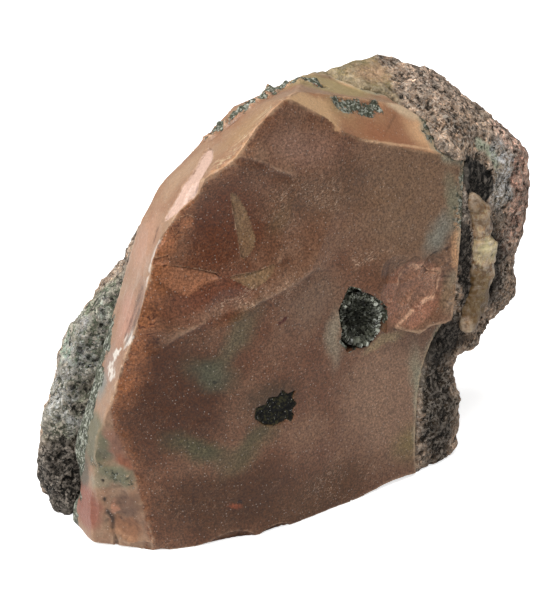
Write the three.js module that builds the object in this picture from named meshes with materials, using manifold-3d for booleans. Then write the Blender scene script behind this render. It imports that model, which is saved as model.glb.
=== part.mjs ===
// A hand specimen of massive datolite with basalt on its back, its right side and its lower left.
// Millimetres, +Z up. It stands on its flat foot, whose middle is the origin.
// +X runs to the right along the foot of the broad front fracture face, +Y goes to the back.

import * as THREE from "three";
import { ConvexGeometry } from "three/addons/geometries/ConvexGeometry.js";
import { ImprovedNoise } from "three/addons/math/ImprovedNoise.js";
import { mergeVertices } from "three/addons/utils/BufferGeometryUtils.js";
import Module from "manifold-3d";

const wasm = await Module();
wasm.setup();

// Gap between two neighbouring minerals.
const SEAM = 0.3;
// Far enough to be outside the specimen on every side.
const OUTSIDE = 90;
// Corners closer than this are one corner.
const SAME_CORNER = 1e-4;
// Where the uneven surfaces are read from the noise.
const NOISE_ORIGIN = [5.3, 2.7, 8.1];

// Foot line of the front face in plan: the face is gently bowed, its middle furthest forward.
const FOOT_X = [-60, -40, -32, -22, -12, -3, 13, 30, 45, 80];
const FOOT_Y = [-8, -13.8, -17.7, -21.2, -23.6, -23.8, -22, -20.2, -18.6, -15];
// The front face leans back by this much for each millimetre of height.
const FRONT_LEAN = 0.0875;
// The block behind the front face, which holds the whole specimen: its sizes, its middle and its foot.
const FRONT_BLOCK = { width: 116, depth: 80, height: 104, middleX: 4, footZ: -6 };
// Size of the facets that follow the bowed front face, and its faint waviness.
const FRONT_FACET = 4;
const PLATEAU_SCAR_FACET = 2.5;
const FRONT_WAVE = 0.25;
const FRONT_WAVE_LENGTH = 19;

// Flat fracture faces of the datolite: a point on each, and the way it faces.
const FACES = {
  footCorner: { at: [-31.7, -17.7, 0], facing: [-0.713, -0.7, -0.01] },
  lowerLeft: { at: [-40, -7.6, 0], facing: [-0.996, 0.075, 0.05] },
  middleLeft: { at: [-36.8, -12.9, 33], facing: [-0.902, 0.264, 0.341] },
  upperLeft: { at: [-32.5, -13.6, 44.9], facing: [-0.926, 0.194, 0.325] },
  shoulder: { at: [-26.8, -12.2, 60.5], facing: [-0.782, 0.223, 0.582] },
  upperSlope: { at: [2.7, -12.8, 87.1], facing: [-0.542, 0.29, 0.789] },
  behindApex: { at: [8.5, 5, 80.9], facing: [-0.17, 0.36, 0.92] },
  topSkin: { at: [11.4, -8, 84.9], facing: [0.317, 0.006, 0.948] },
  topRight: { at: [38.8, -9, 73.6], facing: [0.63, 0.05, 0.775] },
  right: { at: [42, -14, 50], facing: [0.98, 0, -0.18] },
  back: { at: [-27, 0.5, 51], facing: [-0.2, 0.98, 0.06] },
  foot: { at: [0, 0, 0], facing: [0, 0, -1] },
};
// The two faces of the chamfer along the top of the front, which meet in a hollow edge.
const TOP_CHAMFER = [
  { at: [2.7, -12.8, 87.1], facing: [0.46, -0.5, 0.734] },
  { at: [19, -14.8, 75.6], facing: [0.299, -0.642, 0.706] },
];

// Corner of the datolite that basalt takes up at the lower right: its outline as [x, z].
const LOWER_RIGHT = [
  [30.6, -6],
  [30.4, 8],
  [31.4, 17],
  [32.6, 23],
  [35.4, 28.2],
  [40, 33],
  [70, 34],
  [70, -6],
];

// The raised right half of the front, above the ledge: its outline as [x, z], and how far it stands proud.
const PLATEAU = [
  [9, 36.5],
  [14, 33.2],
  [24, 35.6],
  [30.4, 32.8],
  [33.5, 33.6],
  [37.2, 33.2],
  [39.8, 33.9],
  [52, 35],
  [52, 76],
  [9, 76],
];
const PLATEAU_RISE = 3.2;
// Where it has no rise left, it lies this far below the face around it.
const PLATEAU_TUCK = 0.15;
const PLATEAU_RISE_FROM_X = 8;
const PLATEAU_RISE_TO_X = 27;
// Towards the top it loses this share of its rise.
const PLATEAU_FADE = 0.8;
const PLATEAU_FADE_FROM_Z = 40;
const PLATEAU_FADE_TO_Z = 74;

// Shallow scars in the front face, which follow its bow: middle as [x, z], half length and half height,
// turn in degrees, and depth. Each has a sharp lower lip and dies out to the top and to the right.
// A negative half height turns a scar over, so that the sharp lip is the upper one.
const UPPER_FRONT_SCAR = { middle: [-15, 71.5], reach: [30, 24], turn: 12, depth: 2.4 };
const INNER_FRONT_SCARS = {
  darkHollow: { middle: [-12, 65], reach: [19, 13], turn: 6, depth: 1.2 },
  underApex: { middle: [4, 94], reach: [17, 22.5], turn: -6, depth: 2.3 },
};
// Rough scars in the raised right half.
const PLATEAU_SCARS = {
  ledgeHollow: { middle: [30, 40], reach: [9.5, -9], turn: 8, depth: 2.1 },
  ledgeStep: { middle: [35, 40.5], reach: [5, 4.5], turn: 35, depth: 1.4 },
};
// Where along its half length a scar starts to die out to the right, and how square its left end is.
const SCAR_FADE_FROM = 0.4;
const SCAR_LEFT_END = 4;
// What is left over where a scar has died out.
const SCAR_TUCK = 0.04;

// Scars on the other faces: centre, the way the scar faces, half length and half width, depth, and turn.
const SCARS = {
  slopeBite: { at: [-9.5, -11, 80.3], facing: [-0.54, -0.1, 0.83], reach: [12, 8], depth: 1.8, turn: -50 },
  pinkLens: { at: [-19, -11, 71.8], facing: [-0.66, -0.3, 0.69], reach: [9.5, 3.6], depth: 0.9, turn: -50 },
  sideDent: { at: [-38.5, 2, 9], facing: [-0.95, 0.2, 0.2], reach: [5, 6], depth: 2.4 },
  cornerFlake: { at: [-35.6, -14.2, 3.2], facing: [-0.7, -0.68, 0.2], reach: [3.6, 3], depth: 0.8 },
  footArch: { at: [-20, -21.5, -0.6], facing: [0, -0.5, -0.86], reach: [6.2, 3], depth: 1 },
  rightArch: { at: [26, -19, -0.9], facing: [0, -0.4, -0.9], reach: [12, 5], depth: 1.2 },
};
const SCAR_RINGS = 7;
const SCAR_SPOKES = 26;
// A scar's cutter reaches this much past its rim, and stands this far out of the face.
const SCAR_OVERREACH = 1.5;
const SCAR_HEADROOM = 14;

// Dark fragment in the front face: its ragged outline as [x, z], its back, and how deep it lies in the face.
const FRAGMENT = [
  [-9.9, 25.4],
  [-8.6, 24.2],
  [-7.4, 23.2],
  [-5.2, 22.7],
  [-2.6, 23.2],
  [-1.4, 22.4],
  [-0.4, 23.6],
  [-1.3, 24.6],
  [0.3, 25.6],
  [-0.6, 27.1],
  [0, 28.6],
  [-2, 28.5],
  [-3.1, 29.7],
  [-4.3, 28.5],
  [-6.4, 28.9],
  [-7.2, 27.6],
  [-9.4, 27.4],
];
const FRAGMENT_BACK_Y = -18;
const FRAGMENT_SUNK = 0.2;

// Hollow with a crystal lining, right of the middle: centre, half sizes, turn and wall of the lining.
const VUG_AT = [16.8, -17.6, 38.8];
const VUG_HALF = [5.2, 5.5, 6.6];
const VUG_TURN = -0.35;
const VUG_LINING = 1;
// Height of the wall's lumps, and their length on a ball of radius 1.
const VUG_UNEVEN = 1;
const VUG_UNEVEN_LENGTH = 0.78;
const VUG_DETAIL = 3;
// The crystals' number, their half widths, and their length over their width.
const VUG_CRYSTALS = 26;
const VUG_CRYSTAL_MIN = 0.45;
const VUG_CRYSTAL_MAX = 1;
const VUG_CRYSTAL_SLENDER = 1.6;
// How far the lining lies below the face.
const VUG_SUNK = 0.3;

// Pale finger of datolite in the basalt: stations along it, each with its radius.
const FINGER = [
  { at: [47, -14.6, 55.9], radius: 1.2 },
  { at: [49, -14, 50.8], radius: 1.8 },
  { at: [48.8, -14.6, 47.4], radius: 1.3 },
  { at: [49.4, -15.2, 43.8], radius: 2 },
  { at: [48.5, -15.6, 37.6], radius: 1.5 },
  { at: [46.5, -16.2, 33], radius: 1.8 },
  { at: [44.8, -16.8, 30.4], radius: 1.2 },
];
const FINGER_DETAIL = 1;

// Outermost points of the basalt, before its lumps.
const ROCK_HULL = [
  [-43.8, 8, 19],
  [-41.6, 8.5, 27.5],
  [-39.8, 7, 7],
  [-39, 3.5, -4],
  [-35.8, 9, 33.4],
  [-27.3, 7, 42.6],
  [-19, 6, 56.2],
  [-10, 7, 67],
  [0, 8, 75],
  [12, 6, 82],
  [30.8, 9, 83.4],
  [40, 10, 85.6],
  [47.5, 9, 83.8],
  [53, 6, 79],
  [58.8, 0, 74.6],
  [63.8, -7, 67.8],
  [68.5, -9, 59],
  [67.6, -9, 46],
  [67, -9, 34],
  [62.5, -9, 22],
  [45.8, -15, 3],
  [44.8, -17.6, -4],
  [33, -19.8, -4],
  [33, -19.4, 28],
  [43, -17.2, 36],
  [44, -16.4, 70],
  [-35, 22, -4],
  [-35, 22, 13],
  [-28, 22, 32],
  [-10, 22, 49],
  [8, 21, 63],
  [32, 20, 74],
  [50, 18, 71],
  [60, 16, 54],
  [57, 19, 26],
  [44, 22, -4],
];
const ROCK_CENTRE = [10, 4, 36];
// Half sizes of the ball that is fitted to the hull, so that its facets come out even.
const ROCK_BALL = [52, 22, 44];
const ROCK_DETAIL = 16;
// How sharply the fitted surface follows the hull's corners.
const ROCK_SHARPNESS = 26;
// Lumps of the broken basalt: wavelength and height of each size.
const ROCK_LUMPS = [
  [17, 1.5],
  [7.5, 1.1],
  [3.8, 0.8],
];
// Single knobs (positive) and pits (negative): centre, radius and height.
const ROCK_KNOBS = [
  { at: [51, -13, 60], radius: 5.5, height: -2.2 },
  { at: [62, -7, 62], radius: 5, height: 1.6 },
  { at: [55, -11, 44], radius: 4, height: -1.6 },
  { at: [56, -10, 36], radius: 4, height: 1.2 },
  { at: [45.5, -16, 42], radius: 3, height: -2 },
  { at: [38, -19.5, 20], radius: 4.5, height: -1.2 },
  { at: [39, -18.5, 9], radius: 5, height: 1 },
  { at: [50, -8, 76], radius: 5, height: 1.5 },
  { at: [-41, 7, 13], radius: 5, height: 1.2 },
  { at: [-40.5, 3.5, 3], radius: 3.5, height: 1.6 },
  { at: [-39, 8, 27], radius: 5, height: -1 },
  { at: [-33, 9, 37], radius: 4, height: 1.2 },
  { at: [20, 20, 40], radius: 14, height: 2.5 },
  { at: [-12, 20, 18], radius: 12, height: -2.5 },
];
// Notch under the overhang at the right: its outline as [x, z].
const NOTCH = [
  [43.6, -8],
  [42.9, 9],
  [42.3, 22.6],
  [47, 22.8],
  [53, 25.4],
  [59, 28.4],
  [90, 38],
  [90, -8],
];
// The notch runs from front to back, and its walls are lumpy too.
const NOTCH_FROM_Y = -30;
const NOTCH_TO_Y = 34;
const NOTCH_WALLS = { facet: 4, lumpLength: 8, lump: 2.4 };
// Left of this, the basalt lies only behind the datolite's back face.
const ROCK_BEHIND_TO_X = 8;
// The face that ends the basalt on top of the specimen.
const ROCK_TOP_EDGE = { at: [30, 0, 79], facing: [-0.96, -0.2, 0.2] };

// One closed mesh as a solid.
function solid(geometry) {
  const soup = geometry.index ? geometry.toNonIndexed() : geometry;
  const bare = new THREE.BufferGeometry();
  bare.setAttribute("position", soup.getAttribute("position"));
  const merged = mergeVertices(bare, SAME_CORNER);
  return new wasm.Manifold(
    new wasm.Mesh({
      numProp: 3,
      vertProperties: merged.getAttribute("position").array,
      triVerts: new Uint32Array(merged.index.array),
    }),
  );
}

// A solid as a mesh of its own material.
function mineral(name, body, look) {
  const { numProp, vertProperties, triVerts } = body.getMesh();
  const positions = new Float32Array((vertProperties.length / numProp) * 3);
  for (let i = 0; i * numProp < vertProperties.length; i += 1) {
    positions.set(vertProperties.subarray(i * numProp, i * numProp + 3), i * 3);
  }
  const indexed = new THREE.BufferGeometry();
  indexed.setAttribute("position", new THREE.BufferAttribute(positions, 3));
  indexed.setIndex(new THREE.BufferAttribute(triVerts, 1));
  const flat = indexed.toNonIndexed();
  flat.computeVertexNormals();
  const mesh = new THREE.Mesh(flat, new THREE.MeshStandardMaterial({ metalness: 0, ...look }));
  mesh.name = name;
  return mesh;
}

const noise = new ImprovedNoise();

function wave(x, y, z, length) {
  const [fromX, fromY, fromZ] = NOISE_ORIGIN;
  return noise.noise(x / length + fromX, y / length + fromY, z / length + fromZ);
}

// A frame whose Y axis is the given facing and whose X axis is level, turned about the facing.
function frameOf(at, facing, turn) {
  const up = new THREE.Vector3(...facing).normalize();
  const level = new THREE.Vector3(-up.y, up.x, 0);
  const across = level.lengthSq() > 0 ? level.normalize() : new THREE.Vector3(1, 0, 0);
  const along = across.clone().cross(up);
  return new THREE.Matrix4()
    .makeBasis(across, up, along)
    .setPosition(...at)
    .multiply(new THREE.Matrix4().makeRotationY(THREE.MathUtils.degToRad(turn)));
}

// A block that holds everything to the left of x.
function leftOf(x) {
  const side = 4 * OUTSIDE;
  const block = new THREE.BoxGeometry(side, side, side);
  block.translate(x - side / 2, 0, 0);
  return solid(block);
}

// Everything outside a flat face, moved outwards by grow.
function outsideOf({ at, facing }, grow) {
  const half = 2 * OUTSIDE;
  const block = new THREE.BoxGeometry(2 * half, half, 2 * half);
  block.translate(0, half / 2 + grow, 0);
  block.applyMatrix4(frameOf(at, facing, 0));
  return solid(block);
}

// A block from -Y to +Y with the given outline in X and Z.
function prism(outline, y0, y1) {
  const shape = new THREE.Shape(outline.map(([x, z]) => new THREE.Vector2(x, z)));
  const block = new THREE.ExtrudeGeometry(shape, { depth: y1 - y0, bevelEnabled: false });
  block.rotateX(Math.PI / 2);
  block.translate(0, y1, 0);
  return solid(block);
}

// A block like prism, with its walls broken up into facets and pushed about by lumps.
function lumpyPrism(outline, y0, y1, { facet, lumpLength, lump }) {
  const shape = new THREE.Shape(outline.map(([x, z]) => new THREE.Vector2(x, z)));
  const sides = Math.round(shape.getLength() / facet);
  const fine = new THREE.Shape(shape.getSpacedPoints(sides).slice(0, -1));
  const steps = Math.round((y1 - y0) / facet);
  const block = new THREE.ExtrudeGeometry(fine, { depth: y1 - y0, steps, bevelEnabled: false });
  block.rotateX(Math.PI / 2);
  block.translate(0, y1, 0);
  const position = block.getAttribute("position");
  for (let i = 0; i < position.count; i += 1) {
    const x = position.getX(i);
    const y = position.getY(i);
    const z = position.getZ(i);
    position.setX(i, x + lump * wave(x, y, z, lumpLength));
    position.setZ(i, z + lump * wave(z, x, y, lumpLength));
  }
  return solid(block);
}

// The outline moved outwards by grow, corner by corner.
function grown(outline, grow) {
  const corners = outline.map(([x, z]) => new THREE.Vector2(x, z));
  const middle = new THREE.Vector2();
  for (const corner of corners) {
    middle.addScaledVector(corner, 1 / corners.length);
  }
  return corners.map((corner) => {
    const away = corner.sub(middle);
    away.setLength(away.length() + grow).add(middle);
    return [away.x, away.y];
  });
}

const footPlan = new THREE.CubicInterpolant(FOOT_X, FOOT_Y, 1);

// The bowed lower front face, as y over x and z.
function frontY(x, z) {
  return footPlan.evaluate(x)[0] + FRONT_LEAN * z + FRONT_WAVE * wave(x, 0, z, FRONT_WAVE_LENGTH);
}

// The raised right half of the front.
function plateauY(x, z) {
  const across = THREE.MathUtils.smoothstep(x, PLATEAU_RISE_FROM_X, PLATEAU_RISE_TO_X);
  const upwards = THREE.MathUtils.smoothstep(z, PLATEAU_FADE_FROM_Z, PLATEAU_FADE_TO_Z);
  const rise = (PLATEAU_RISE + PLATEAU_TUCK) * across * (1 - PLATEAU_FADE * upwards);
  return frontY(x, z) + PLATEAU_TUCK - rise;
}

// Depth of a scar below the face it is in, negative beyond its sharp lip.
function scarDepth(x, z, { middle, reach, turn, depth }) {
  const offset = new THREE.Vector2(x - middle[0], z - middle[1]);
  offset.rotateAround(new THREE.Vector2(), -THREE.MathUtils.degToRad(turn));
  const u = offset.x / reach[0];
  const v = offset.y / reach[1];
  const across = 1 - THREE.MathUtils.smoothstep(u, SCAR_FADE_FROM, 1);
  const upwards = 1 - THREE.MathUtils.smoothstep(v, 0, 1);
  const lip = Math.min(u, 0) ** SCAR_LEFT_END + Math.min(v, 0) ** 2;
  return depth * (across * upwards - lip) - SCAR_TUCK;
}

function upperFrontY(x, z) {
  return frontY(x, z) + scarDepth(x, z, UPPER_FRONT_SCAR);
}

// Everything behind a front surface, with facets of about the given size.
function behind(surface, facet) {
  const { width, depth, height, middleX, footZ } = FRONT_BLOCK;
  const columns = Math.round(width / facet);
  const rows = Math.round(height / facet);
  const block = new THREE.BoxGeometry(width, depth, height, columns, 1, rows);
  block.translate(middleX, 0, footZ + height / 2);
  const position = block.getAttribute("position");
  for (let i = 0; i < position.count; i += 1) {
    if (position.getY(i) < 0) {
      position.setY(i, surface(position.getX(i), position.getZ(i)));
    }
  }
  return solid(block);
}

// Cutter for a flake scar: a shallow bowl turned about its own axis, then stretched and set on the face.
function scar({ at, facing, reach, depth, turn = 0 }) {
  const profile = [];
  for (let i = 0; i <= SCAR_RINGS; i += 1) {
    const r = (SCAR_OVERREACH * i) / SCAR_RINGS;
    profile.push(new THREE.Vector2(r, depth * (r * r - 1)));
  }
  profile.push(new THREE.Vector2(SCAR_OVERREACH, SCAR_HEADROOM));
  profile.push(new THREE.Vector2(0, SCAR_HEADROOM));
  const bowl = new THREE.LatheGeometry(profile, SCAR_SPOKES);
  bowl.scale(reach[0], 1, reach[1]);
  bowl.applyMatrix4(frameOf(at, facing, turn));
  return solid(bowl);
}

// Datolite before its front face is cut, moved outwards by grow: what the basalt has to leave free.
function roughNodule(grow) {
  let body = leftOf(OUTSIDE);
  for (const face of Object.values(FACES)) {
    body = body.subtract(outsideOf(face, grow));
  }
  const [leftChamfer, rightChamfer] = TOP_CHAMFER;
  const corner = LOWER_RIGHT.map(([x, z]) => [x + grow, z - grow]);
  return body
    .subtract(outsideOf(leftChamfer, grow).intersect(outsideOf(rightChamfer, grow)))
    .subtract(prism(corner, -OUTSIDE, OUTSIDE));
}

function datolite() {
  const block = roughNodule(0);
  const front = block.intersect(behind(frontY, FRONT_FACET));
  let plateau = block
    .intersect(behind(plateauY, FRONT_FACET))
    .intersect(prism(PLATEAU, -OUTSIDE, OUTSIDE));
  for (const cut of Object.values(PLATEAU_SCARS)) {
    const scarred = (x, z) => plateauY(x, z) + scarDepth(x, z, cut);
    plateau = plateau.intersect(behind(scarred, PLATEAU_SCAR_FACET));
  }
  let body = front.add(plateau).intersect(behind(upperFrontY, FRONT_FACET));
  for (const cut of Object.values(INNER_FRONT_SCARS)) {
    const scarred = (x, z) => upperFrontY(x, z) + scarDepth(x, z, cut);
    body = body.intersect(behind(scarred, FRONT_FACET));
  }
  for (const cut of Object.values(SCARS)) {
    body = body.subtract(scar(cut));
  }
  return body;
}

// The hollow's wall as an uneven ball, its half sizes less the given inset.
function vugSpace(inset) {
  const ball = new THREE.IcosahedronGeometry(1, VUG_DETAIL);
  const position = ball.getAttribute("position");
  const point = new THREE.Vector3();
  for (let i = 0; i < position.count; i += 1) {
    point.fromBufferAttribute(position, i);
    const uneven = VUG_UNEVEN * wave(point.x, point.y, point.z, VUG_UNEVEN_LENGTH);
    point.set(
      point.x * (VUG_HALF[0] + uneven - inset),
      point.y * (VUG_HALF[1] + uneven - inset),
      point.z * (VUG_HALF[2] + uneven - inset),
    );
    position.setXYZ(i, point.x, point.y, point.z);
  }
  ball.rotateY(VUG_TURN);
  ball.translate(...VUG_AT);
  return solid(ball);
}

// Crystal points on the inner wall, spread evenly by the golden angle.
function vugCrystals() {
  const golden = Math.PI * (3 - Math.sqrt(5));
  const upright = new THREE.Vector3(0, 1, 0);
  const wall = SEAM + VUG_LINING;
  const crystals = [];
  for (let i = 0; i < VUG_CRYSTALS; i += 1) {
    const height = 1 - (2 * (i + 0.5)) / VUG_CRYSTALS;
    const round = Math.sqrt(1 - height * height);
    const angle = golden * i;
    const away = new THREE.Vector3(round * Math.cos(angle), Math.abs(height), round * Math.sin(angle));
    const share = THREE.MathUtils.seededRandom(i + 1);
    const size = THREE.MathUtils.lerp(VUG_CRYSTAL_MIN, VUG_CRYSTAL_MAX, share);
    const crystal = new THREE.OctahedronGeometry(size, 0);
    crystal.scale(1, VUG_CRYSTAL_SLENDER, 1);
    crystal.applyQuaternion(new THREE.Quaternion().setFromUnitVectors(upright, away));
    crystal.translate(
      away.x * (VUG_HALF[0] - wall),
      away.y * (VUG_HALF[1] - wall),
      away.z * (VUG_HALF[2] - wall),
    );
    crystal.rotateY(VUG_TURN);
    crystal.translate(...VUG_AT);
    crystals.push(solid(crystal));
  }
  return crystals;
}

function vugCrust() {
  const outer = vugSpace(SEAM);
  let crust = outer.subtract(vugSpace(SEAM + VUG_LINING));
  for (const crystal of vugCrystals()) {
    crust = crust.add(crystal.intersect(outer));
  }
  return crust.intersect(behind((x, z) => frontY(x, z) + VUG_SUNK, FRONT_FACET));
}

// The pale finger: a chain of balls, each pair joined by its hull.
function finger(grow) {
  const balls = FINGER.map(({ at, radius }) => {
    const ball = new THREE.IcosahedronGeometry(radius + grow, FINGER_DETAIL);
    ball.translate(...at);
    return pointsOf(ball);
  });
  let body = solid(new ConvexGeometry([...balls[0], ...balls[1]]));
  for (let i = 1; i + 1 < balls.length; i += 1) {
    body = body.add(solid(new ConvexGeometry([...balls[i], ...balls[i + 1]])));
  }
  return body;
}

function pointsOf(geometry) {
  const position = geometry.getAttribute("position");
  const points = [];
  for (let i = 0; i < position.count; i += 1) {
    points.push(new THREE.Vector3().fromBufferAttribute(position, i));
  }
  return points;
}

// Outward planes of a convex mesh, as facing and offset from the given centre.
function planesOf(hull, centre) {
  const corners = pointsOf(hull);
  const planes = [];
  for (let i = 0; i < corners.length; i += 3) {
    const plane = new THREE.Plane().setFromCoplanarPoints(corners[i], corners[i + 1], corners[i + 2]);
    planes.push({ facing: plane.normal, offset: -plane.distanceToPoint(centre) });
  }
  return planes;
}

// The basalt's outside: a ball fitted to the hull of its outermost points, with lumps, knobs and pits.
function rockOutside() {
  const centre = new THREE.Vector3(...ROCK_CENTRE);
  const hull = new ConvexGeometry(ROCK_HULL.map((p) => new THREE.Vector3(...p)));
  const planes = planesOf(hull, centre);
  const ball = new THREE.IcosahedronGeometry(1, ROCK_DETAIL);
  const position = ball.getAttribute("position");
  const ray = new THREE.Vector3();
  const point = new THREE.Vector3();
  for (let i = 0; i < position.count; i += 1) {
    ray.fromBufferAttribute(position, i).multiply(new THREE.Vector3(...ROCK_BALL));
    let sum = 0;
    for (const { facing, offset } of planes) {
      sum += Math.max(facing.dot(ray) / offset, 0) ** ROCK_SHARPNESS;
    }
    ray.multiplyScalar(sum ** (-1 / ROCK_SHARPNESS));
    point.copy(centre).add(ray);
    let raise = 0;
    for (const [length, height] of ROCK_LUMPS) {
      raise += height * wave(point.x, point.y, point.z, length);
    }
    for (const { at, radius, height } of ROCK_KNOBS) {
      const away = point.distanceTo(new THREE.Vector3(...at)) / radius;
      raise += height * Math.exp(-away * away);
    }
    point.addScaledVector(ray.normalize(), raise);
    position.setXYZ(i, point.x, point.y, point.z);
  }
  return solid(ball);
}

function basalt() {
  const { back, topSkin, foot } = FACES;
  const leftBeforeBack = leftOf(ROCK_BEHIND_TO_X).subtract(outsideOf(back, SEAM));
  const aboveSkin = outsideOf(topSkin, 0).intersect(outsideOf(ROCK_TOP_EDGE, 0));
  const notch = lumpyPrism(NOTCH, NOTCH_FROM_Y, NOTCH_TO_Y, NOTCH_WALLS);
  return rockOutside()
    .subtract(outsideOf(foot, 0))
    .subtract(notch)
    .subtract(roughNodule(SEAM))
    .subtract(leftBeforeBack)
    .subtract(aboveSkin)
    .subtract(finger(SEAM));
}

const fragmentHole = prism(FRAGMENT, -OUTSIDE, FRAGMENT_BACK_Y);
const fragmentBody = prism(grown(FRAGMENT, -SEAM), -OUTSIDE, FRAGMENT_BACK_Y - SEAM).intersect(
  behind((x, z) => frontY(x, z) + FRAGMENT_SUNK, FRONT_FACET),
);

const specimen = new THREE.Group();
specimen.add(
  mineral("datolite_body", datolite().subtract(fragmentHole).subtract(vugSpace(0)), {
    color: 0x9c6f57,
    roughness: 0.42,
  }),
  mineral("basalt_matrix", basalt(), { color: 0x6b6154, roughness: 0.88 }),
  mineral("datolite_vein", finger(0), { color: 0xa48c70, roughness: 0.6 }),
  mineral("basalt_inclusion", fragmentBody, { color: 0x23201b, roughness: 0.8 }),
  mineral("vug_crust", vugCrust(), { color: 0x5c6052, roughness: 0.35 }),
);

export default specimen;
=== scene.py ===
"""A specimen of massive datolite, pink-brown and broken, with basalt grown onto it.

Everything is counted in millimetres, and turned into metres where a mesh, a lamp or the camera is placed.
"""

import itertools
import math

import bmesh
import bpy
import numpy as np
from mathutils import Euler, Matrix, Vector
from mathutils.bvhtree import BVHTree
from mathutils.kdtree import KDTree


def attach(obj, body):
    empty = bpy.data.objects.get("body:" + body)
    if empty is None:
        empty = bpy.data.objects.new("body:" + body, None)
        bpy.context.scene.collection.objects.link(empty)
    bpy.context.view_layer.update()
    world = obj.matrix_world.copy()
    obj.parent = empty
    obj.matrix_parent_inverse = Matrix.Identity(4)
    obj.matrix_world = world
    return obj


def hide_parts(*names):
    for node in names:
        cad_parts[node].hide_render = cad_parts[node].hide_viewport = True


MM = 0.001

# ---------------------------------------------------------------- uneven stone

# large uneven numbers that only stir the digits
MIX = np.array([[127.1, 269.5, 113.5], [311.7, 183.3, 271.9], [74.7, 246.1, 124.6]])
SEED_STEP = 12.9
STIR = 43758.5453


def scattered(cells, seed):
    """Three numbers from 0 to 1 for each whole-number cell, always the same ones."""
    return (np.sin(cells @ MIX + SEED_STEP * seed) * STIR) % 1.0


def rolling(points, size, seed, layers=1):
    """Smooth unevenness from about -1 to 1, with lumps of the given size and finer layers on them."""
    total = np.zeros(len(points))
    height = 1.0
    for layer in range(layers):
        place = points / size * 2.03**layer + 7.7 * (seed + 3 * layer)
        cell = np.floor(place)
        part = place - cell
        blend = part**3 * (part * (part * 6 - 15) + 10)
        for corner in itertools.product((0, 1), repeat=3):
            corner = np.array(corner)
            share = np.where(corner, blend, 1 - blend).prod(1)
            slope = 2 * scattered(cell + corner, seed) - 1
            total += height * share * (slope * (part - corner)).sum(1)
        height *= 0.5
    return 1.4 * total


def crumbs(points, size, seed):
    """Distance to the middle of the nearest grain, and that grain's own number."""
    place = points / size
    cell = np.floor(place)
    least = np.full(len(points), 9.0)
    own = np.zeros(len(points))
    for step in itertools.product((-1, 0, 1), repeat=3):
        home = cell + np.array(step)
        lot = scattered(home, seed)
        far = np.linalg.norm(place - home - lot, axis=1)
        own = np.where(far < least, lot[:, 0], own)
        least = np.minimum(least, far)
    return least, own


def ramp(value, low, high):
    """0 below low, 1 above high, and smooth between them."""
    part = np.clip((value - low) / (high - low), 0, 1)
    return part * part * (3 - 2 * part)


def inside(across, up, outline):
    """Whether each point lies inside the outline, as 1 or 0."""
    count = np.zeros(len(across), int)
    for (x0, z0), (x1, z1) in zip(outline, outline[1:] + outline[:1]):
        if z0 != z1:
            crosses = (z0 > up) != (z1 > up)
            count += crosses & (across < x0 + (up - z0) * (x1 - x0) / (z1 - z0))
    return (count % 2).astype(float)


def away_from(points, line):
    """Distance from the line through the given places."""
    line = np.array(line, float)
    least = np.full(len(points), 1e9)
    for start, end in zip(line, line[1:]):
        along = end - start
        part = np.clip((points - start) @ along / (along @ along), 0, 1)
        least = np.minimum(least, np.linalg.norm(points - start - part[:, None] * along, axis=1))
    return least


def beside(x, z, line):
    """How far each point lies above the line, and how fully the line is there, fading to its ends."""
    line = np.array(line, dtype=float)
    at = np.interp(x, line[:, 0], line[:, 1])
    middle = np.clip((x - line[0, 0]) / (line[-1, 0] - line[0, 0]), 0, 1)
    return z - at, ramp(4 * middle * (1 - middle), 0, 0.6)


def near(points, line, low, high, wobble=0.0):
    """1 on the line through the given places, fading to 0 between the two distances from it."""
    return 1 - ramp(away_from(points, line) + wobble, low, high)


def oval(x, z, middle, reach):
    """0 in the middle of an upright oval on the front, 1 on its outline and more outside."""
    return ((x - middle[0]) / reach[0]) ** 2 + ((z - middle[1]) / reach[1]) ** 2


def shell_ripples(x, z, blow, reach, step, toward, width, wander):
    """Curved ripples, from -1 to 1, that a blow on the front sends through it in one direction."""
    far = np.hypot(x - blow[0], z - blow[1])
    turn = np.abs((np.degrees(np.arctan2(z - blow[1], x - blow[0])) - toward + 180) % 360 - 180)
    window = ramp(far, reach[0], reach[0] + step) * (1 - ramp(far, 0.75 * reach[1], reach[1]))
    window *= 1 - ramp(turn, 0.5 * width, width)
    return window * np.sin(2 * math.pi * (far + wander) / step)


# ---------------------------------------------------------------- meshes

def read(mesh, items, field, width, kind=float):
    """A column of numbers from a mesh as an array."""
    rows = getattr(mesh, items)
    values = np.zeros(len(rows) * width, kind)
    rows.foreach_get(field, values)
    return values.reshape(-1, width) if width > 1 else values


def corners_of(mesh):
    return read(mesh, "vertices", "co", 3) / MM


def facing_of(mesh):
    return read(mesh, "vertices", "normal", 3)


def place_corners(mesh, points):
    mesh.vertices.foreach_set("co", (points * MM).astype(np.float32).ravel())
    mesh.update()


def place_on_floor(mesh, points):
    """Places the corners, none of them below the floor."""
    points[:, 2] = np.maximum(points[:, 2], 0)
    place_corners(mesh, points)


def note(mesh, name, values):
    """Keeps one number for each corner, for the material to read."""
    column = mesh.attributes.get(name) or mesh.attributes.new(name, "FLOAT", "POINT")
    column.data.foreach_set("value", np.clip(values, -9, 9).astype(np.float32))


def mesh_from(name, work):
    mesh = bpy.data.meshes.new(name)
    work.to_mesh(mesh)
    work.free()
    return mesh


def piece_from(name, mesh):
    piece = bpy.data.objects.new(name, mesh)
    bpy.context.scene.collection.objects.link(piece)
    return piece


def closed_copy(node, name):
    """A copy of a CAD solid, with its corners joined."""
    piece = piece_from(name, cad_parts[node].data.copy())
    piece.data.materials.clear()
    kept_normals = piece.data.attributes.get("custom_normal")
    if kept_normals:
        piece.data.attributes.remove(kept_normals)
    work = bmesh.new()
    work.from_mesh(piece.data)
    bmesh.ops.remove_doubles(work, verts=work.verts, dist=1e-6)
    work.to_mesh(piece.data)
    work.free()
    return piece


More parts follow.
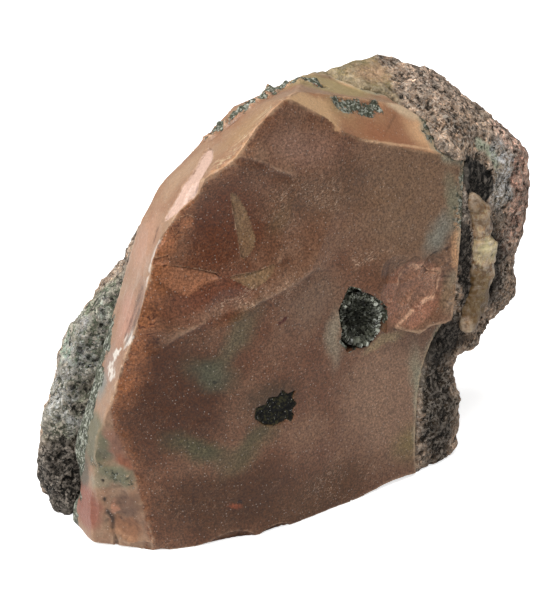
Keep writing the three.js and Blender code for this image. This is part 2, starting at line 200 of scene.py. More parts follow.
def change(piece, kind, **settings):
    """Applies one modifier to the piece."""
    modifier = piece.modifiers.new("change", kind)
    for key, value in settings.items():
        setattr(modifier, key, value)
    shown = piece.evaluated_get(bpy.context.evaluated_depsgraph_get())
    mesh = bpy.data.meshes.new_from_object(shown)
    mesh.materials.clear()
    piece.modifiers.clear()
    piece.data = mesh


def cut(piece, cutter):
    """Takes the cutter's shape out of the piece."""
    change(piece, "BOOLEAN", operation="DIFFERENCE", solver="MANIFOLD", object=cutter)
    bpy.data.objects.remove(cutter)


MARK_STEP = 0.3


def sharp_edge_marks(mesh, sharper_than):
    """Places at even steps along the edges of a solid that are sharper than the given degrees."""
    work = bmesh.new()
    work.from_mesh(mesh)
    marks = []
    for edge in work.edges:
        if edge.calc_face_angle(math.pi) > math.radians(sharper_than):
            start, end = (vert.co / MM for vert in edge.verts)
            count = 1 + int((end - start).length / MARK_STEP)
            marks += [start.lerp(end, (i + 0.5) / count) for i in range(count)]
    work.free()
    return marks


def distance_to_marks(points, marks, most):
    """Distance of each point from the nearest mark, up to a most."""
    tree = KDTree(len(marks))
    for i, mark in enumerate(marks):
        tree.insert(mark, i)
    tree.balance()
    return np.array([min(tree.find(point)[2], most) for point in points])


def distance_to_solid(points, node, most):
    """Distance of each point from a CAD solid's surface, up to a most."""
    tree = BVHTree.FromObject(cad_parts[node], bpy.context.evaluated_depsgraph_get())
    found = (tree.find_nearest(point, most * MM)[3] for point in points * MM)
    return np.array([most if far is None else far / MM for far in found])


def edges_of(mesh):
    """The two corners of every edge, by number."""
    return read(mesh, "edges", "vertices", 2, int)


def neighbours_mean(points, edges, weight):
    """Mean place of each corner's neighbours along the given edges."""
    count = len(points)
    total = np.empty((count, 3))
    for axis in range(3):
        total[:, axis] = np.bincount(edges[:, 0], points[edges[:, 1], axis] * weight, count)
        total[:, axis] += np.bincount(edges[:, 1], points[edges[:, 0], axis] * weight, count)
    share = np.bincount(edges[:, 0], weight, count) + np.bincount(edges[:, 1], weight, count)
    return np.where(share[:, None] > 0, total / np.maximum(share, 1e-9)[:, None], points)


def ease(points, edges, strength, rounds):
    """Evens out a surface, each corner as strongly as given."""
    weight = np.ones(len(edges))
    for _ in range(rounds):
        points = points + 0.5 * strength[:, None] * (neighbours_mean(points, edges, weight) - points)
    return points


def short_ones(points, edges):
    """1 for each edge that is shorter than a millimetre, 0 for a longer one."""
    length = np.linalg.norm(points[edges[:, 0]] - points[edges[:, 1]], axis=1)
    return np.where(length < 1, 1.0, 0.0)


def note_edges(mesh, rounds):
    """Notes how far each corner stands out (above 0) or lies in a hollow (below 0)."""
    edges = edges_of(mesh)
    points = corners_of(mesh)
    weight = short_ones(points, edges)
    even = points
    for _ in range(rounds):
        even = neighbours_mean(even, edges, weight)
    note(mesh, "stands_out", ((points - even) * facing_of(mesh)).sum(1))


def shade(mesh, sharp_from=None):
    """Smooth shading, with edges sharper than the given degrees kept crisp."""
    mesh.polygons.foreach_set("use_smooth", np.ones(len(mesh.polygons), bool))
    if sharp_from:
        mesh.set_sharp_from_angle(angle=math.radians(sharp_from))
    mesh.update()


# ---------------------------------------------------------------- material kit

def link(tree, socket, value):
    """Sets a socket to a value, or joins it to another node's output."""
    if isinstance(value, bpy.types.NodeSocket):
        tree.links.new(value, socket)
    elif value is not None:
        socket.default_value = value


def add(tree, kind, sockets=None, **settings):
    """A node with its settings and its inputs, by name or by number."""
    made = tree.nodes.new(kind)
    for key, value in settings.items():
        setattr(made, key, value)
    for key, value in (sockets or {}).items():
        link(tree, made.inputs[key], value)
    return made


def maths(tree, operation, a, b=None, clamp=False):
    return add(tree, "ShaderNodeMath", {0: a, 1: b}, operation=operation, use_clamp=clamp).outputs[0]


def times(tree, a, b):
    return maths(tree, "MULTIPLY", a, b)


def plus(tree, a, b):
    return maths(tree, "ADD", a, b)


def minus(tree, a, b):
    return maths(tree, "SUBTRACT", a, b)


def larger(tree, a, b):
    return maths(tree, "MAXIMUM", a, b)


def place_maths(tree, operation, a, b):
    return add(tree, "ShaderNodeVectorMath", {0: a, 1: b}, operation=operation).outputs[0]


def scaled(tree, value, factor):
    """A place or a colour times one number."""
    return add(tree, "ShaderNodeVectorMath", {0: value, "Scale": factor}, operation="SCALE").outputs[0]


def mixed(tree, mask, under, over, blend="MIX"):
    """The colour over laid on the colour under where the mask is 1."""
    made = add(tree, "ShaderNodeMix", data_type="RGBA", blend_type=blend, clamp_factor=True)
    link(tree, made.inputs[0], mask)
    link(tree, made.inputs[6], under)
    link(tree, made.inputs[7], over)
    return made.outputs[2]


def spread(tree, value, low, high, to_low=0.0, to_high=1.0):
    """The value mapped smoothly from low and high to the two new limits."""
    sockets = {"Value": value, "From Min": low, "From Max": high, "To Min": to_low, "To Max": to_high}
    return add(tree, "ShaderNodeMapRange", sockets, interpolation_type="SMOOTHSTEP").outputs[0]


def laid(tree, colour, mask, strength, paint):
    """The paint laid on a colour where the mask is, as strongly as given."""
    return mixed(tree, times(tree, mask, strength), colour, paint)


def laid_by_note(tree, colour, name, strength, paint):
    """The paint laid on a colour where the piece's own note says."""
    return laid(tree, colour, read_note(tree, name), strength, paint)


def two_tones(tree, mask, light, low, high):
    """A colour between the two paints, both given as they are seen."""
    return mixed(tree, mask, seen(*low, light), seen(*high, light))


def noise(tree, place, size, detail=4.0, roughness=0.6):
    """Soft clouds of the given size, from 0 to 1."""
    scale = maths(tree, "DIVIDE", 1.0, size) if isinstance(size, bpy.types.NodeSocket) else 1 / size
    sockets = {"Vector": place, "Scale": scale, "Detail": detail, "Roughness": roughness}
    return add(tree, "ShaderNodeTexNoise", sockets).outputs["Fac"]


def read_note(tree, name):
    return add(tree, "ShaderNodeAttribute", attribute_name=name, attribute_type="GEOMETRY").outputs["Fac"]


def stone_place(tree):
    """The place on the stone, in millimetres."""
    return scaled(tree, add(tree, "ShaderNodeTexCoord").outputs["Object"], 1 / MM)


def group(name, inputs, outputs):
    """An empty node group, what its inputs give inside it, and the sockets that take its results."""
    made = bpy.data.node_groups.new(name, "ShaderNodeTree")
    kinds = {"v": "NodeSocketVector", "f": "NodeSocketFloat", "c": "NodeSocketColor"}
    for label, kind, *value in inputs:
        socket = made.interface.new_socket(label, in_out="INPUT", socket_type=kinds[kind])
        if value:
            socket.default_value = value[0]
    for label, kind in outputs:
        made.interface.new_socket(label, in_out="OUTPUT", socket_type=kinds[kind])
    return made, made.nodes.new("NodeGroupInput").outputs, made.nodes.new("NodeGroupOutput").inputs


def use(tree, name, **sockets):
    """The outputs of a node group placed in a material, with its inputs given by name."""
    return add(tree, "ShaderNodeGroup", sockets, node_tree=effects[name]).outputs


def wandering(tree, place, size, push):
    return use(tree, "wander", Place=place, Size=size, Push=push)["Place"]


def streaks(tree, place, turn, width, length, fill):
    return use(tree, "streaks", Place=place, Turn=turn, Width=width, Length=length, Fill=fill)["Mask"]


def glinting(tree, place, size, share):
    return use(tree, "glints", Place=place, Size=size, Share=share)["Mask"]


def make_wandering_place():
    """Pushes the place about, so that what is drawn with it gets ragged outlines."""
    made, given, result = group(
        "wandering place",
        [("Place", "v"), ("Size", "f", 3.0), ("Push", "f", 1.0)],
        [("Place", "v")],
    )
    scale = maths(made, "DIVIDE", 1.0, given["Size"])
    sockets = {"Vector": given["Place"], "Scale": scale, "Detail": 4.0, "Roughness": 0.62}
    soft = add(made, "ShaderNodeTexNoise", sockets).outputs["Color"]
    around_zero = place_maths(made, "SUBTRACT", soft, (0.5, 0.5, 0.5))
    pushed = scaled(made, around_zero, times(made, given["Push"], 4.0))
    link(made, result["Place"], place_maths(made, "ADD", given["Place"], pushed))
    return made


def make_patch():
    """A soft oval patch, 1 in its middle and 0 outside its reach; the tilt lifts its right end."""
    made, given, result = group(
        "stone patch",
        [
            ("Place", "v"), ("Middle", "v"), ("Reach", "v", (5, 5, 5)),
            ("Tilt", "f", 0.0), ("Core", "f", 0.4),
        ],
        [("Mask", "f")],
    )
    away = place_maths(made, "SUBTRACT", given["Place"], given["Middle"])
    sockets = {"Vector": away, "Angle": given["Tilt"]}
    turned = add(made, "ShaderNodeVectorRotate", sockets, rotation_type="Y_AXIS")
    share = place_maths(made, "DIVIDE", turned.outputs[0], given["Reach"])
    far = add(made, "ShaderNodeVectorMath", {0: share}, operation="LENGTH").outputs["Value"]
    link(made, result["Mask"], spread(made, far, given["Core"], 1.0, 1.0, 0.0))
    return made


def make_glints():
    """Scattered tiny dots of uneven strength, for cleavage faces that catch the light."""
    made, given, result = group(
        "tiny glints",
        [("Place", "v"), ("Size", "f", 0.5), ("Share", "f", 0.1)],
        [("Mask", "f")],
    )
    scale = maths(made, "DIVIDE", 1.0, given["Size"])
    cells = add(made, "ShaderNodeTexVoronoi", {"Vector": given["Place"], "Scale": scale, "Randomness": 1.0})
    own = add(made, "ShaderNodeSeparateColor", {"Color": cells.outputs["Color"]})
    chosen = spread(made, own.outputs[2], given["Share"], times(made, given["Share"], 0.4))
    dot = spread(made, cells.outputs["Distance"], 0.08, 0.26, 1.0, 0.0)
    link(made, result["Mask"], times(made, chosen, dot))
    return made


def make_streaks():
    """Thin broken lines that run along one direction, as in fibres, scratches and hackles."""
    made, given, result = group(
        "fine streaks",
        [
            ("Place", "v"), ("Turn", "v", (0, 0, 0)),
            ("Width", "f", 0.5), ("Length", "f", 5.0), ("Fill", "f", 0.3),
        ],
        [("Mask", "f")],
    )
    sockets = {"Vector": given["Place"], "Rotation": given["Turn"]}
    turned = add(made, "ShaderNodeVectorRotate", sockets, rotation_type="EULER_XYZ").outputs[0]
    sockets = {"X": given["Length"], "Y": given["Width"], "Z": given["Width"]}
    grid = add(made, "ShaderNodeCombineXYZ", sockets)
    soft = noise(made, place_maths(made, "DIVIDE", turned, grid.outputs[0]), 1.0, 2.0, 0.5)
    off = maths(made, "ABSOLUTE", minus(made, soft, 0.5))
    line = spread(made, off, 0.0, times(made, given["Fill"], 0.1), 1.0, 0.0)
    broken = spread(made, noise(made, given["Place"], given["Length"], 2.0), 0.42, 0.58)
    link(made, result["Mask"], times(made, line, broken))
    return made


def make_edge_and_hollow_masks():
    """Where an edge stands out and where a hollow lies, broken up by fine noise."""
    made, given, result = group(
        "edges and hollows",
        [("Place", "v"), ("Reach", "f", 0.05)],
        [("Edge", "f"), ("Hollow", "f")],
    )
    share = spread(made, noise(made, given["Place"], 0.7, 3.0), 0.3, 0.7, 0.5, 1.2)
    far = maths(made, "DIVIDE", read_note(made, "stands_out"), given["Reach"])
    link(made, result["Edge"], maths(made, "MULTIPLY", spread(made, far, 0.3, 1.8), share, clamp=True))
    deep = times(made, far, -1.0)
    link(made, result["Hollow"], maths(made, "MULTIPLY", spread(made, deep, 0.3, 1.9), share, clamp=True))
    return made


def make_crumbly_grain():
    """Basalt's grain laid over a colour: dark pits with painted shade where the lumps are lowest, pale
    crystals and glints, with their heights.
    """
    made, given, result = group(
        "crumbly grain",
        [("Place", "v"), ("Base", "c"), ("Pale", "c", (0.4, 0.36, 0.31, 1)), ("Contrast", "f", 1.0)],
        [("Color", "c"), ("Height", "f"), ("Glint", "f")],
    )
    place = given["Place"]
    shifted = place_maths(made, "ADD", place, (31.7, 12.3, 5.1))
    lumps = noise(made, place, 1.5, 3.0, 0.65)
    flecks = noise(made, shifted, 0.85, 2.0, 0.6)
    cells = add(made, "ShaderNodeTexVoronoi", {"Vector": place, "Scale": 2.3, "Randomness": 1.0})
    own = add(made, "ShaderNodeSeparateColor", {"Color": cells.outputs["Color"]})
    # painted shade in the pits, where the lumps are lowest
    dark = times(made, spread(made, lumps, 0.47, 0.4, 0.0, 1.0), given["Contrast"])
    colour = mixed(made, dark, given["Base"], (0.12, 0.12, 0.11, 1), "MULTIPLY")
    pale = times(made, spread(made, flecks, 0.54, 0.62, 0.0, 0.9), given["Contrast"])
    colour = mixed(made, pale, colour, given["Pale"])
    grain = times(made, spread(made, own.outputs[0], 0.45, 1.0, 0.0, 0.75), given["Contrast"])
    colour = mixed(made, grain, colour, (0.32, 0.31, 0.3, 1), "MULTIPLY")
    light_grain = times(made, spread(made, own.outputs[1], 0.74, 0.98, 0.0, 0.75), given["Contrast"])
    colour = mixed(made, light_grain, colour, given["Pale"])
    glint = times(made, glinting(made, place, 0.42, 0.3), given["Contrast"])
    link(made, result["Color"], mixed(made, times(made, glint, 0.8), colour, (0.8, 0.8, 0.74, 1)))
    height = plus(made, lumps, times(made, own.outputs[0], 0.22))
    link(made, result["Height"], plus(made, height, times(made, flecks, 0.6)))
    link(made, result["Glint"], glint)
    return made


# what the gloss adds to every colour, and so comes off the paint
HAZE = 0.015


def seen(red, green, blue, light=1.0):
    """The stone's own colour, from how it is seen and how strongly that place is lit."""
    def one(part):
        part /= 255
        part = part / 12.92 if part <= 0.04045 else ((part + 0.055) / 1.055) ** 2.4
        return min(max(part - HAZE, 0.1 * part) / light, 0.85)
    return (one(red), one(green), one(blue), 1.0)


# how strongly each place is lit
ON_FRONT = 0.86
ON_SIDE = 1.75
ON_TOP = 1.0
ON_ROCK = 0.66
ON_LEFT_ROCK = 1.3
ON_FINGER = 0.62
ON_FINGER_LINES = 0.7
ON_FRAGMENT = 0.7
ON_MARGIN = 0.95


def patches(tree, place, colour, table, light):
    """Lays soft patches on a colour. A row holds a patch's middle and reach, its tilt in degrees, the
    share of it that is at full strength, its paint as it is seen, its strength, and its own light where
    that isn't the table's."""
    for middle, reach, tilt, core, paint, strength, *own_light in table:
        tilt = math.radians(tilt)
        found = use(tree, "patch", Place=place, Middle=middle, Reach=reach, Tilt=tilt, Core=core)
        colour = laid(tree, colour, found["Mask"], strength, seen(*paint, *(own_light or [light])))
    return colour


def new_material(name):
    material = bpy.data.materials.new(name)
    material.use_nodes = True
    tree = material.node_tree
    tree.nodes.clear()
    shader = tree.nodes.new("ShaderNodeBsdfPrincipled")
    end = tree.nodes.new("ShaderNodeOutputMaterial")
    tree.links.new(shader.outputs[0], end.inputs["Surface"])
    return material, tree, shader


def dress(tree, shader, colour, roughness, shine, normal=None):
    """Joins what a material has worked out to its shader."""
    link(tree, shader.inputs["Base Color"], colour)
    link(tree, shader.inputs["Roughness"], roughness)
    link(tree, shader.inputs["Normal"], normal)
    shader.inputs["Specular IOR Level"].default_value = shine


def bumped(tree, height, strength, distance):
    """A normal from heights, for a full height of the given millimetres."""
    sockets = {"Height": height, "Strength": strength, "Distance": distance * MM}
    return add(tree, "ShaderNodeBump", sockets).outputs["Normal"]


# ---------------------------------------------------------------- stone colours

# Soft patches of paint, as they are seen: the function patches says what a row holds.
FRONT_PATCHES = [
    # brown-grey towards the right, redder and darker towards the left and the foot
    ((32, -18, 62), (24, 14, 22), 0, 0.3, (113, 90, 72), 0.85),
    ((26, -20, 20), (21, 14, 21), 0, 0.35, (127, 100, 82), 0.9),
    ((-24, -16, 32), (19, 12, 19), 10, 0.4, (70, 46, 35), 0.94),
    ((-13, -16, 64), (15, 10, 11), 30, 0.35, (84, 52, 39), 0.92),
    ((-16, -17, 51), (14, 10, 6), 12, 0.3, (96, 62, 50), 0.8),
    ((-14, -20, 9), (23, 10, 11), 0, 0.4, (72, 50, 38), 0.92),
    ((4, -22, 3), (22, 10, 9), 12, 0.3, (84, 60, 45), 0.85),
    # a painted sheen: the lighter purple-grey band below the apex
    ((6, -14.5, 76), (13, 5, 7), -14, 0.2, (124, 96, 82), 0.85),
    # more tones across the middle and the upper face
    ((5, -19, 46), (12, 10, 8), 10, 0.2, (112, 90, 74), 0.7),
    ((0, -17, 63), (7, 8, 4), 30, 0.1, (92, 78, 60), 0.5),
    ((10, -16, 67.5), (18, 8, 8), 0, 0.3, (94, 72, 57), 0.65),
    # grey-green cloud left of the fragment and the band that runs down to the left of it
    ((-18, -19.5, 36.5), (9, 8, 5), -30, 0.15, (74, 75, 61), 0.85),
    ((-12, -19.8, 43), (12, 8, 4), 50, 0.15, (88, 83, 66), 0.75),
    ((-22, -20, 21), (12, 8, 4), -24, 0.15, (72, 70, 53), 0.9),
    ((-11, -21, 20), (11, 8, 4.4), 38, 0.15, (76, 72, 54), 0.8),
    # pale grey by the hollow and along the right edge
    ((10.4, -19, 37), (3.2, 7, 9), -8, 0.1, (134, 126, 108), 0.7),
    ((32, -18.6, 21), (3.4, 6, 14), 7, 0.1, (130, 126, 106), 0.8),
    ((28.5, -19.5, 8), (7, 6, 6.5), 0, 0.1, (112, 98, 66), 0.75),
    ((36.6, -17.3, 52.6), (6.4, 6, 4.4), 35, 0.1, (116, 116, 106), 0.8),
    ((41, -16.5, 58), (3.6, 6, 9), 0, 0.2, (112, 110, 92), 0.8),
    ((42, -16.2, 46), (2.6, 6, 12), 3, 0.5, (174, 134, 100), 0.9),
    ((31.5, -18.6, 36.6), (5.4, 6, 2.6), 20, 0.5, (150, 106, 86), 0.8),
    ((38.4, -17.6, 39), (2.6, 6, 6), -20, 0.4, (122, 102, 82), 0.8),
    ((23, -19, 32.6), (8, 6, 1.5), 8, 0.3, (146, 128, 98), 0.75),
    # by the dark fragment
    ((-5.6, -21, 28), (9, 8, 6), 0, 0.3, (66, 54, 43), 0.75),
    # specks
    ((-2.6, -19.9, 43.8), (1.2, 3, 0.7), 20, 0.3, (70, 36, 30), 0.9),
    ((-14.1, -22.5, 8.6), (0.8, 3, 0.6), 0, 0.3, (44, 34, 28), 0.9),
    ((-15.3, -22.4, 7.6), (1.6, 3, 0.9), 0, 0.2, (150, 80, 56), 0.6),
    ((-16.5, -19.6, 35.2), (1.0, 3, 0.5), -20, 0.3, (40, 40, 34), 0.8),
]

SIDE_PATCHES = [
    ((-4.5, -9.5, 81), (11, 6, 6), 40, 0.1, (192, 154, 116), 0.8),
    ((-14, -3, 72), (11, 5, 4), 40, 0.2, (206, 172, 142), 0.7),
    ((-24, -4, 60), (10, 8, 7), 60, 0.1, (212, 164, 138), 0.75),
    ((-29.5, -7, 46), (9, 6, 5), 66, 0.1, (212, 162, 142), 0.85),
    ((-33.5, -7, 37), (6, 5, 3.4), 66, 0.2, (188, 160, 146), 0.85),
    ((-35.7, -5, 32), (5, 5, 4), 0, 0.2, (146, 154, 148), 0.9),
    ((-38.4, -9, 23), (5, 9, 7), 0, 0.5, (124, 120, 96), 0.95, 1.65),
    ((-36.5, -13, 24), (1.9, 3, 7), 22, 0.4, (146, 104, 86), 0.9, 1.3),
    ((-34.4, -14.8, 19), (1.5, 3, 4), 22, 0.4, (140, 88, 66), 0.9, 1.2),
    ((-36.4, -13, 16.4), (5, 6, 3), -10, 0.4, (116, 116, 94), 0.9, 1.3),
    ((-40, -6.6, 7), (4, 7.4, 6.4), 0, 0.6, (160, 100, 82), 0.95, 1.6),
    ((-38.5, -10, 14.4), (3, 4, 2), 0, 0.3, (150, 142, 118), 0.8, 1.4),
    ((-40, -4, 15), (5, 4.6, 6), 0, 0.5, (84, 81, 68), 0.8, 1.5),
    ((-35, -14.6, 10), (3, 5, 4.6), 0, 0.4, (116, 88, 72), 0.9, 1.3),
    ((-34.8, -14.6, 4.6), (2.8, 5, 3.4), 30, 0.6, (160, 112, 82), 0.9, 1.4),
    ((-36.2, -12.6, 8.6), (0.8, 2, 3), 0, 0.3, (196, 140, 112), 0.8, 1.4),
    ((-35.2, -13.4, 3.8), (2.4, 3, 1.3), -40, 0.3, (212, 164, 128), 0.85, 1.4),
    # the top skin: olive, with a dark green and a salmon place in it
    ((22, 1, 82), (15, 9, 6), 0, 0.6, (152, 134, 98), 0.95, ON_TOP),
    ((17, 0, 83), (5, 4.5, 3), 0, 0.2, (96, 104, 88), 0.9, ON_TOP),
    ((31, 4, 80), (5, 4, 4), 0, 0.3, (190, 152, 120), 0.8, ON_TOP),
]

CHAMFER_PATCHES = [
    ((25, -12.6, 75.4), (10, 4, 4), -18, 0.1, (150, 102, 76), 0.9),
    ((41, -10, 70), (11, 8, 5), -32, 0.5, (206, 164, 126), 0.95),
    ((36, -6.2, 76), (9, 3, 3.4), -32, 0.4, (202, 178, 148), 0.85),
    ((9, -12, 83), (9, 6, 5), -30, 0.5, (196, 160, 122), 0.95),
    ((17, -9.5, 81), (5, 4, 3), -20, 0.1, (156, 134, 100), 0.8),
]


# Paints laid where a note says: the note, the strength and the paint as it is seen.
LIP_PAINTS = [("lip_light", 0.6, (138, 110, 90)), ("lip_shade", 0.6, (74, 48, 36))]
FLAKE_PAINTS = [
    ("olive_flake", 0.65, (128, 106, 80)),
    ("orange_flake", 0.7, (140, 96, 72)),
    ("scar", 0.6, (140, 100, 82)),
]


def noted_paints(tree, colour, table):
    """Lays a table's paints on the colour of the front."""
    for name, strength, paint in table:
        colour = laid_by_note(tree, colour, name, strength, seen(*paint, ON_FRONT))
    return colour


def pink_brown_datolite():
    """Porcelain-like massive datolite: clouded pink-brown, pale on its left, orange where it is thin."""
    material, tree, shader = new_material("pink brown datolite")
    place = stone_place(tree)
    ragged = wandering(tree, place, 9.0, 1.7)
    clouds = noise(tree, place, 12.0, 5.0, 0.6)
    colour = two_tones(tree, spread(tree, clouds, 0.36, 0.66), ON_FRONT, (96, 66, 51), (114, 86, 69))
    colour = patches(tree, ragged, colour, FRONT_PATCHES, ON_FRONT)
    # the two curved lips that cross the face, lit above and shaded below
    colour = noted_paints(tree, colour, LIP_PAINTS)
    # the thin translucent rim inside the ridge, with its dark cracks
    rim = read_note(tree, "rim")
    amber = two_tones(tree, noise(tree, place, 2.0, 3.0), ON_FRONT, (148, 98, 68), (100, 64, 46))
    colour = laid(tree, colour, rim, 0.9, amber)
    cracks = streaks(tree, place, (0.0, 0.12, 0.0), 1.7, 6.0, 0.3)
    in_rim = spread(tree, rim, 0.2, 0.7, 0.0, 0.8)
    colour = laid(tree, colour, cracks, in_rim, seen(60, 34, 24, ON_FRONT))
    # broken facets
    colour = noted_paints(tree, colour, FLAKE_PAINTS)
    facet_tone = two_tones(tree, noise(tree, place, 2.2, 4.0, 0.7), ON_FRONT, (92, 64, 52), (168, 128, 104))
    colour = laid_by_note(tree, colour, "scar_facet", 0.6, facet_tone)
    colour = laid_by_note(tree, colour, "scar_edge", 0.7, seen(196, 156, 128, ON_FRONT))
    # pale scratches and hackles
    scratches = streaks(tree, ragged, (0.0, 0.55, 0.0), 0.55, 6.0, 0.22)
    colour = laid(tree, colour, scratches, read_note(tree, "scratched"), seen(176, 150, 128, ON_FRONT))
    # top chamfer
    top = two_tones(tree, spread(tree, clouds, 0.4, 0.62), ON_TOP, (152, 110, 84), (158, 120, 90))
    top = patches(tree, ragged, top, CHAMFER_PATCHES, ON_TOP)
    colour = mixed(tree, read_note(tree, "chamfer"), colour, top)
    # a painted highlight along the chamfer's lower edge on the right, and a painted shadow under its left
    # part
    colour = laid_by_note(tree, colour, "chamfer_highlight_line", 0.6, seen(214, 176, 140, ON_TOP))
    colour = laid_by_note(tree, colour, "chamfer_shadow_line", 0.7, seen(64, 44, 32, ON_FRONT))
    # left faces and top
    tints = noise(tree, place, 5.0, 4.0)
    left = two_tones(tree, spread(tree, tints, 0.38, 0.64), ON_SIDE, (186, 150, 122), (178, 136, 108))
    left = patches(tree, ragged, left, SIDE_PATCHES, ON_SIDE)
    fan = streaks(tree, place, (0.0, 0.72, 0.25), 0.9, 16.0, 0.5)
    left = laid(tree, left, fan, read_note(tree, "fanned"), seen(224, 196, 158, ON_SIDE))
    left = mixed(tree, read_note(tree, "lens"), left, seen(240, 202, 182, ON_SIDE))
    # painted highlights: white glint spots on the left face and a bright line along the ridge
    left = mixed(tree, read_note(tree, "painted_highlight"), left, seen(252, 240, 226, ON_SIDE))
    colour = mixed(tree, read_note(tree, "side"), colour, left)
    # pale margin where the basalt begins
    colour = laid_by_note(tree, colour, "margin", 0.7, seen(146, 142, 122, ON_MARGIN))
    # fine mottle
    mottle = noise(tree, place, 0.62, 4.0, 0.8)
    sugar = noise(tree, place, 0.42, 2.0, 0.7)
    strength = spread(tree, sugar, 0.32, 0.68, 0.6, 1.4)
    strength = times(tree, strength, spread(tree, mottle, 0.34, 0.66, 0.84, 1.16))
    smooth = larger(tree, read_note(tree, "side"), read_note(tree, "chamfer"))
    grainy = spread(tree, smooth, 0.0, 1.0, 1.0, 0.3)
    strength = plus(tree, times(tree, strength, grainy), minus(tree, 1.0, grainy))
    colour = scaled(tree, colour, strength)
    # paler where an edge stands out, partly wear and partly a painted highlight along the ridge, and
    # painted shade in the hollows
    edges_and_shaded_hollows = use(tree, "edges_and_shaded_hollows", Place=place, Reach=0.1)
    edge = times(tree, edges_and_shaded_hollows["Edge"], read_note(tree, "clear_edge"))
    edge = times(tree, edge, spread(tree, read_note(tree, "scar"), 0.0, 0.6, 0.4, 0.9))
    colour = mixed(tree, edge, colour, seen(206, 172, 140))
    hollow = times(tree, edges_and_shaded_hollows["Hollow"], read_note(tree, "clear_edge"))
    colour = laid(tree, colour, hollow, 0.6, seen(48, 30, 22, ON_FRONT))
    # dark stains along the cracks, and painted shade on the hollow's inner walls
    colour = mixed(tree, read_note(tree, "stain_and_hollow_shade"), colour, seen(36, 28, 22, ON_FRONT))
    # basalt that has crept over the datolite, and black specks
    rind_tone = two_tones(tree, noise(tree, place, 2.4, 4.0), 1.0, (40, 42, 35), (104, 107, 91))
    rind = use(tree, "grain", Place=place, Base=rind_tone, Pale=(0.36, 0.37, 0.31, 1), Contrast=0.9)
    crumble = noise(tree, place, 1.5, 6.0, 0.75)
    uneven = times(tree, minus(tree, crumble, 0.5), 3.4)
    crept = spread(tree, plus(tree, read_note(tree, "rind"), uneven), 0.72, 0.95)
    colour = mixed(tree, crept, colour, rind["Color"])
    glints = glinting(tree, place, 0.62, 0.5)
    colour = laid(tree, colour, glints, 0.5, (0.56, 0.47, 0.4, 1))
    gloss = spread(tree, noise(tree, place, 6.0, 4.0), 0.35, 0.65, 0.34, 0.46)
    gloss = minus(tree, gloss, times(tree, glints, 0.15))
    gloss = plus(tree, gloss, times(tree, crept, 0.4))
    tooth = plus(tree, times(tree, mottle, 0.6), noise(tree, place, 2.4, 5.0, 0.65))
    height = plus(tree, tooth, times(tree, crept, rind["Height"]))
    dress(tree, shader, colour, gloss, 0.32, bumped(tree, height, 0.6, 0.2))
    return material


ROCK_PATCHES = [
    # painted shade under the ledge and in the groove by the pale finger, a dark strip, and painted shade
    # right of the finger
    ((38.5, -17, 28.6), (9, 9, 6), 0, 0.5, (25, 23, 18), 0.96),
    ((44, -15, 45), (2.6, 6, 18), 2, 0.5, (28, 24, 19), 0.95),
    ((33.4, -18.5, 17), (2.4, 5, 15), 8, 0.3, (60, 60, 50), 0.7),
    ((52.5, -13, 41), (7, 8, 14), 0, 0.4, (40, 36, 30), 0.95),
    # redder rock at the far right and on top
    ((62, -6, 56), (7, 16, 18), 0, 0.4, (150, 116, 102), 0.85),
    ((58, -9, 66), (6, 6, 6), 0, 0.2, (182, 152, 136), 0.8),
    ((50, 0, 76), (16, 10, 9), -40, 0.2, (172, 148, 130), 0.8, 0.8),
    ((60, -10, 44), (6, 6, 8), 0, 0.2, (126, 98, 86), 0.6),
    # painted shade at the right end of the foot
    ((37, -18, 13), (6, 7, 18), 0, 0.5, (44, 39, 30), 0.95),
    # left: grey-green above, nearly black below, a pale teal knob
    ((-30, 6, 40), (14, 12, 14), 45, 0.6, (112, 122, 102), 0.95, ON_LEFT_ROCK),
    ((-38, 6, 24), (10, 12, 12), 0, 0.6, (106, 111, 95), 0.92, ON_LEFT_ROCK),
    ((-40, 4, 7), (10, 12, 12), 0, 0.6, (32, 33, 27), 0.97, ON_LEFT_ROCK),
    ((-33.5, 11, 33), (4.4, 6, 4), 0, 0.5, (146, 176, 152), 0.9, ON_LEFT_ROCK),
]

# painted shade under the ledge, right of the finger, in the groove by the finger, at the lower left and at
# the right end of the foot, laid over the grain as well, so that no pale crystal shows there
PAINTED_SHADE_ROCK_PATCHES = [
    ((39.5, -17, 27.5), (9, 9, 7), 0, 0.5, (24, 22, 17), 0.62),
    ((52.5, -13, 42), (6, 8, 13), 0, 0.4, (30, 27, 22), 0.62),
    ((44, -15, 44), (2.4, 6, 15), 2, 0.5, (24, 20, 16), 0.6),
    ((-41, 4, 7), (9, 12, 11), 0, 0.5, (24, 25, 20), 0.25, ON_LEFT_ROCK),
    ((37, -18, 13), (6, 7, 16), 0, 0.5, (30, 27, 21), 0.35),
]


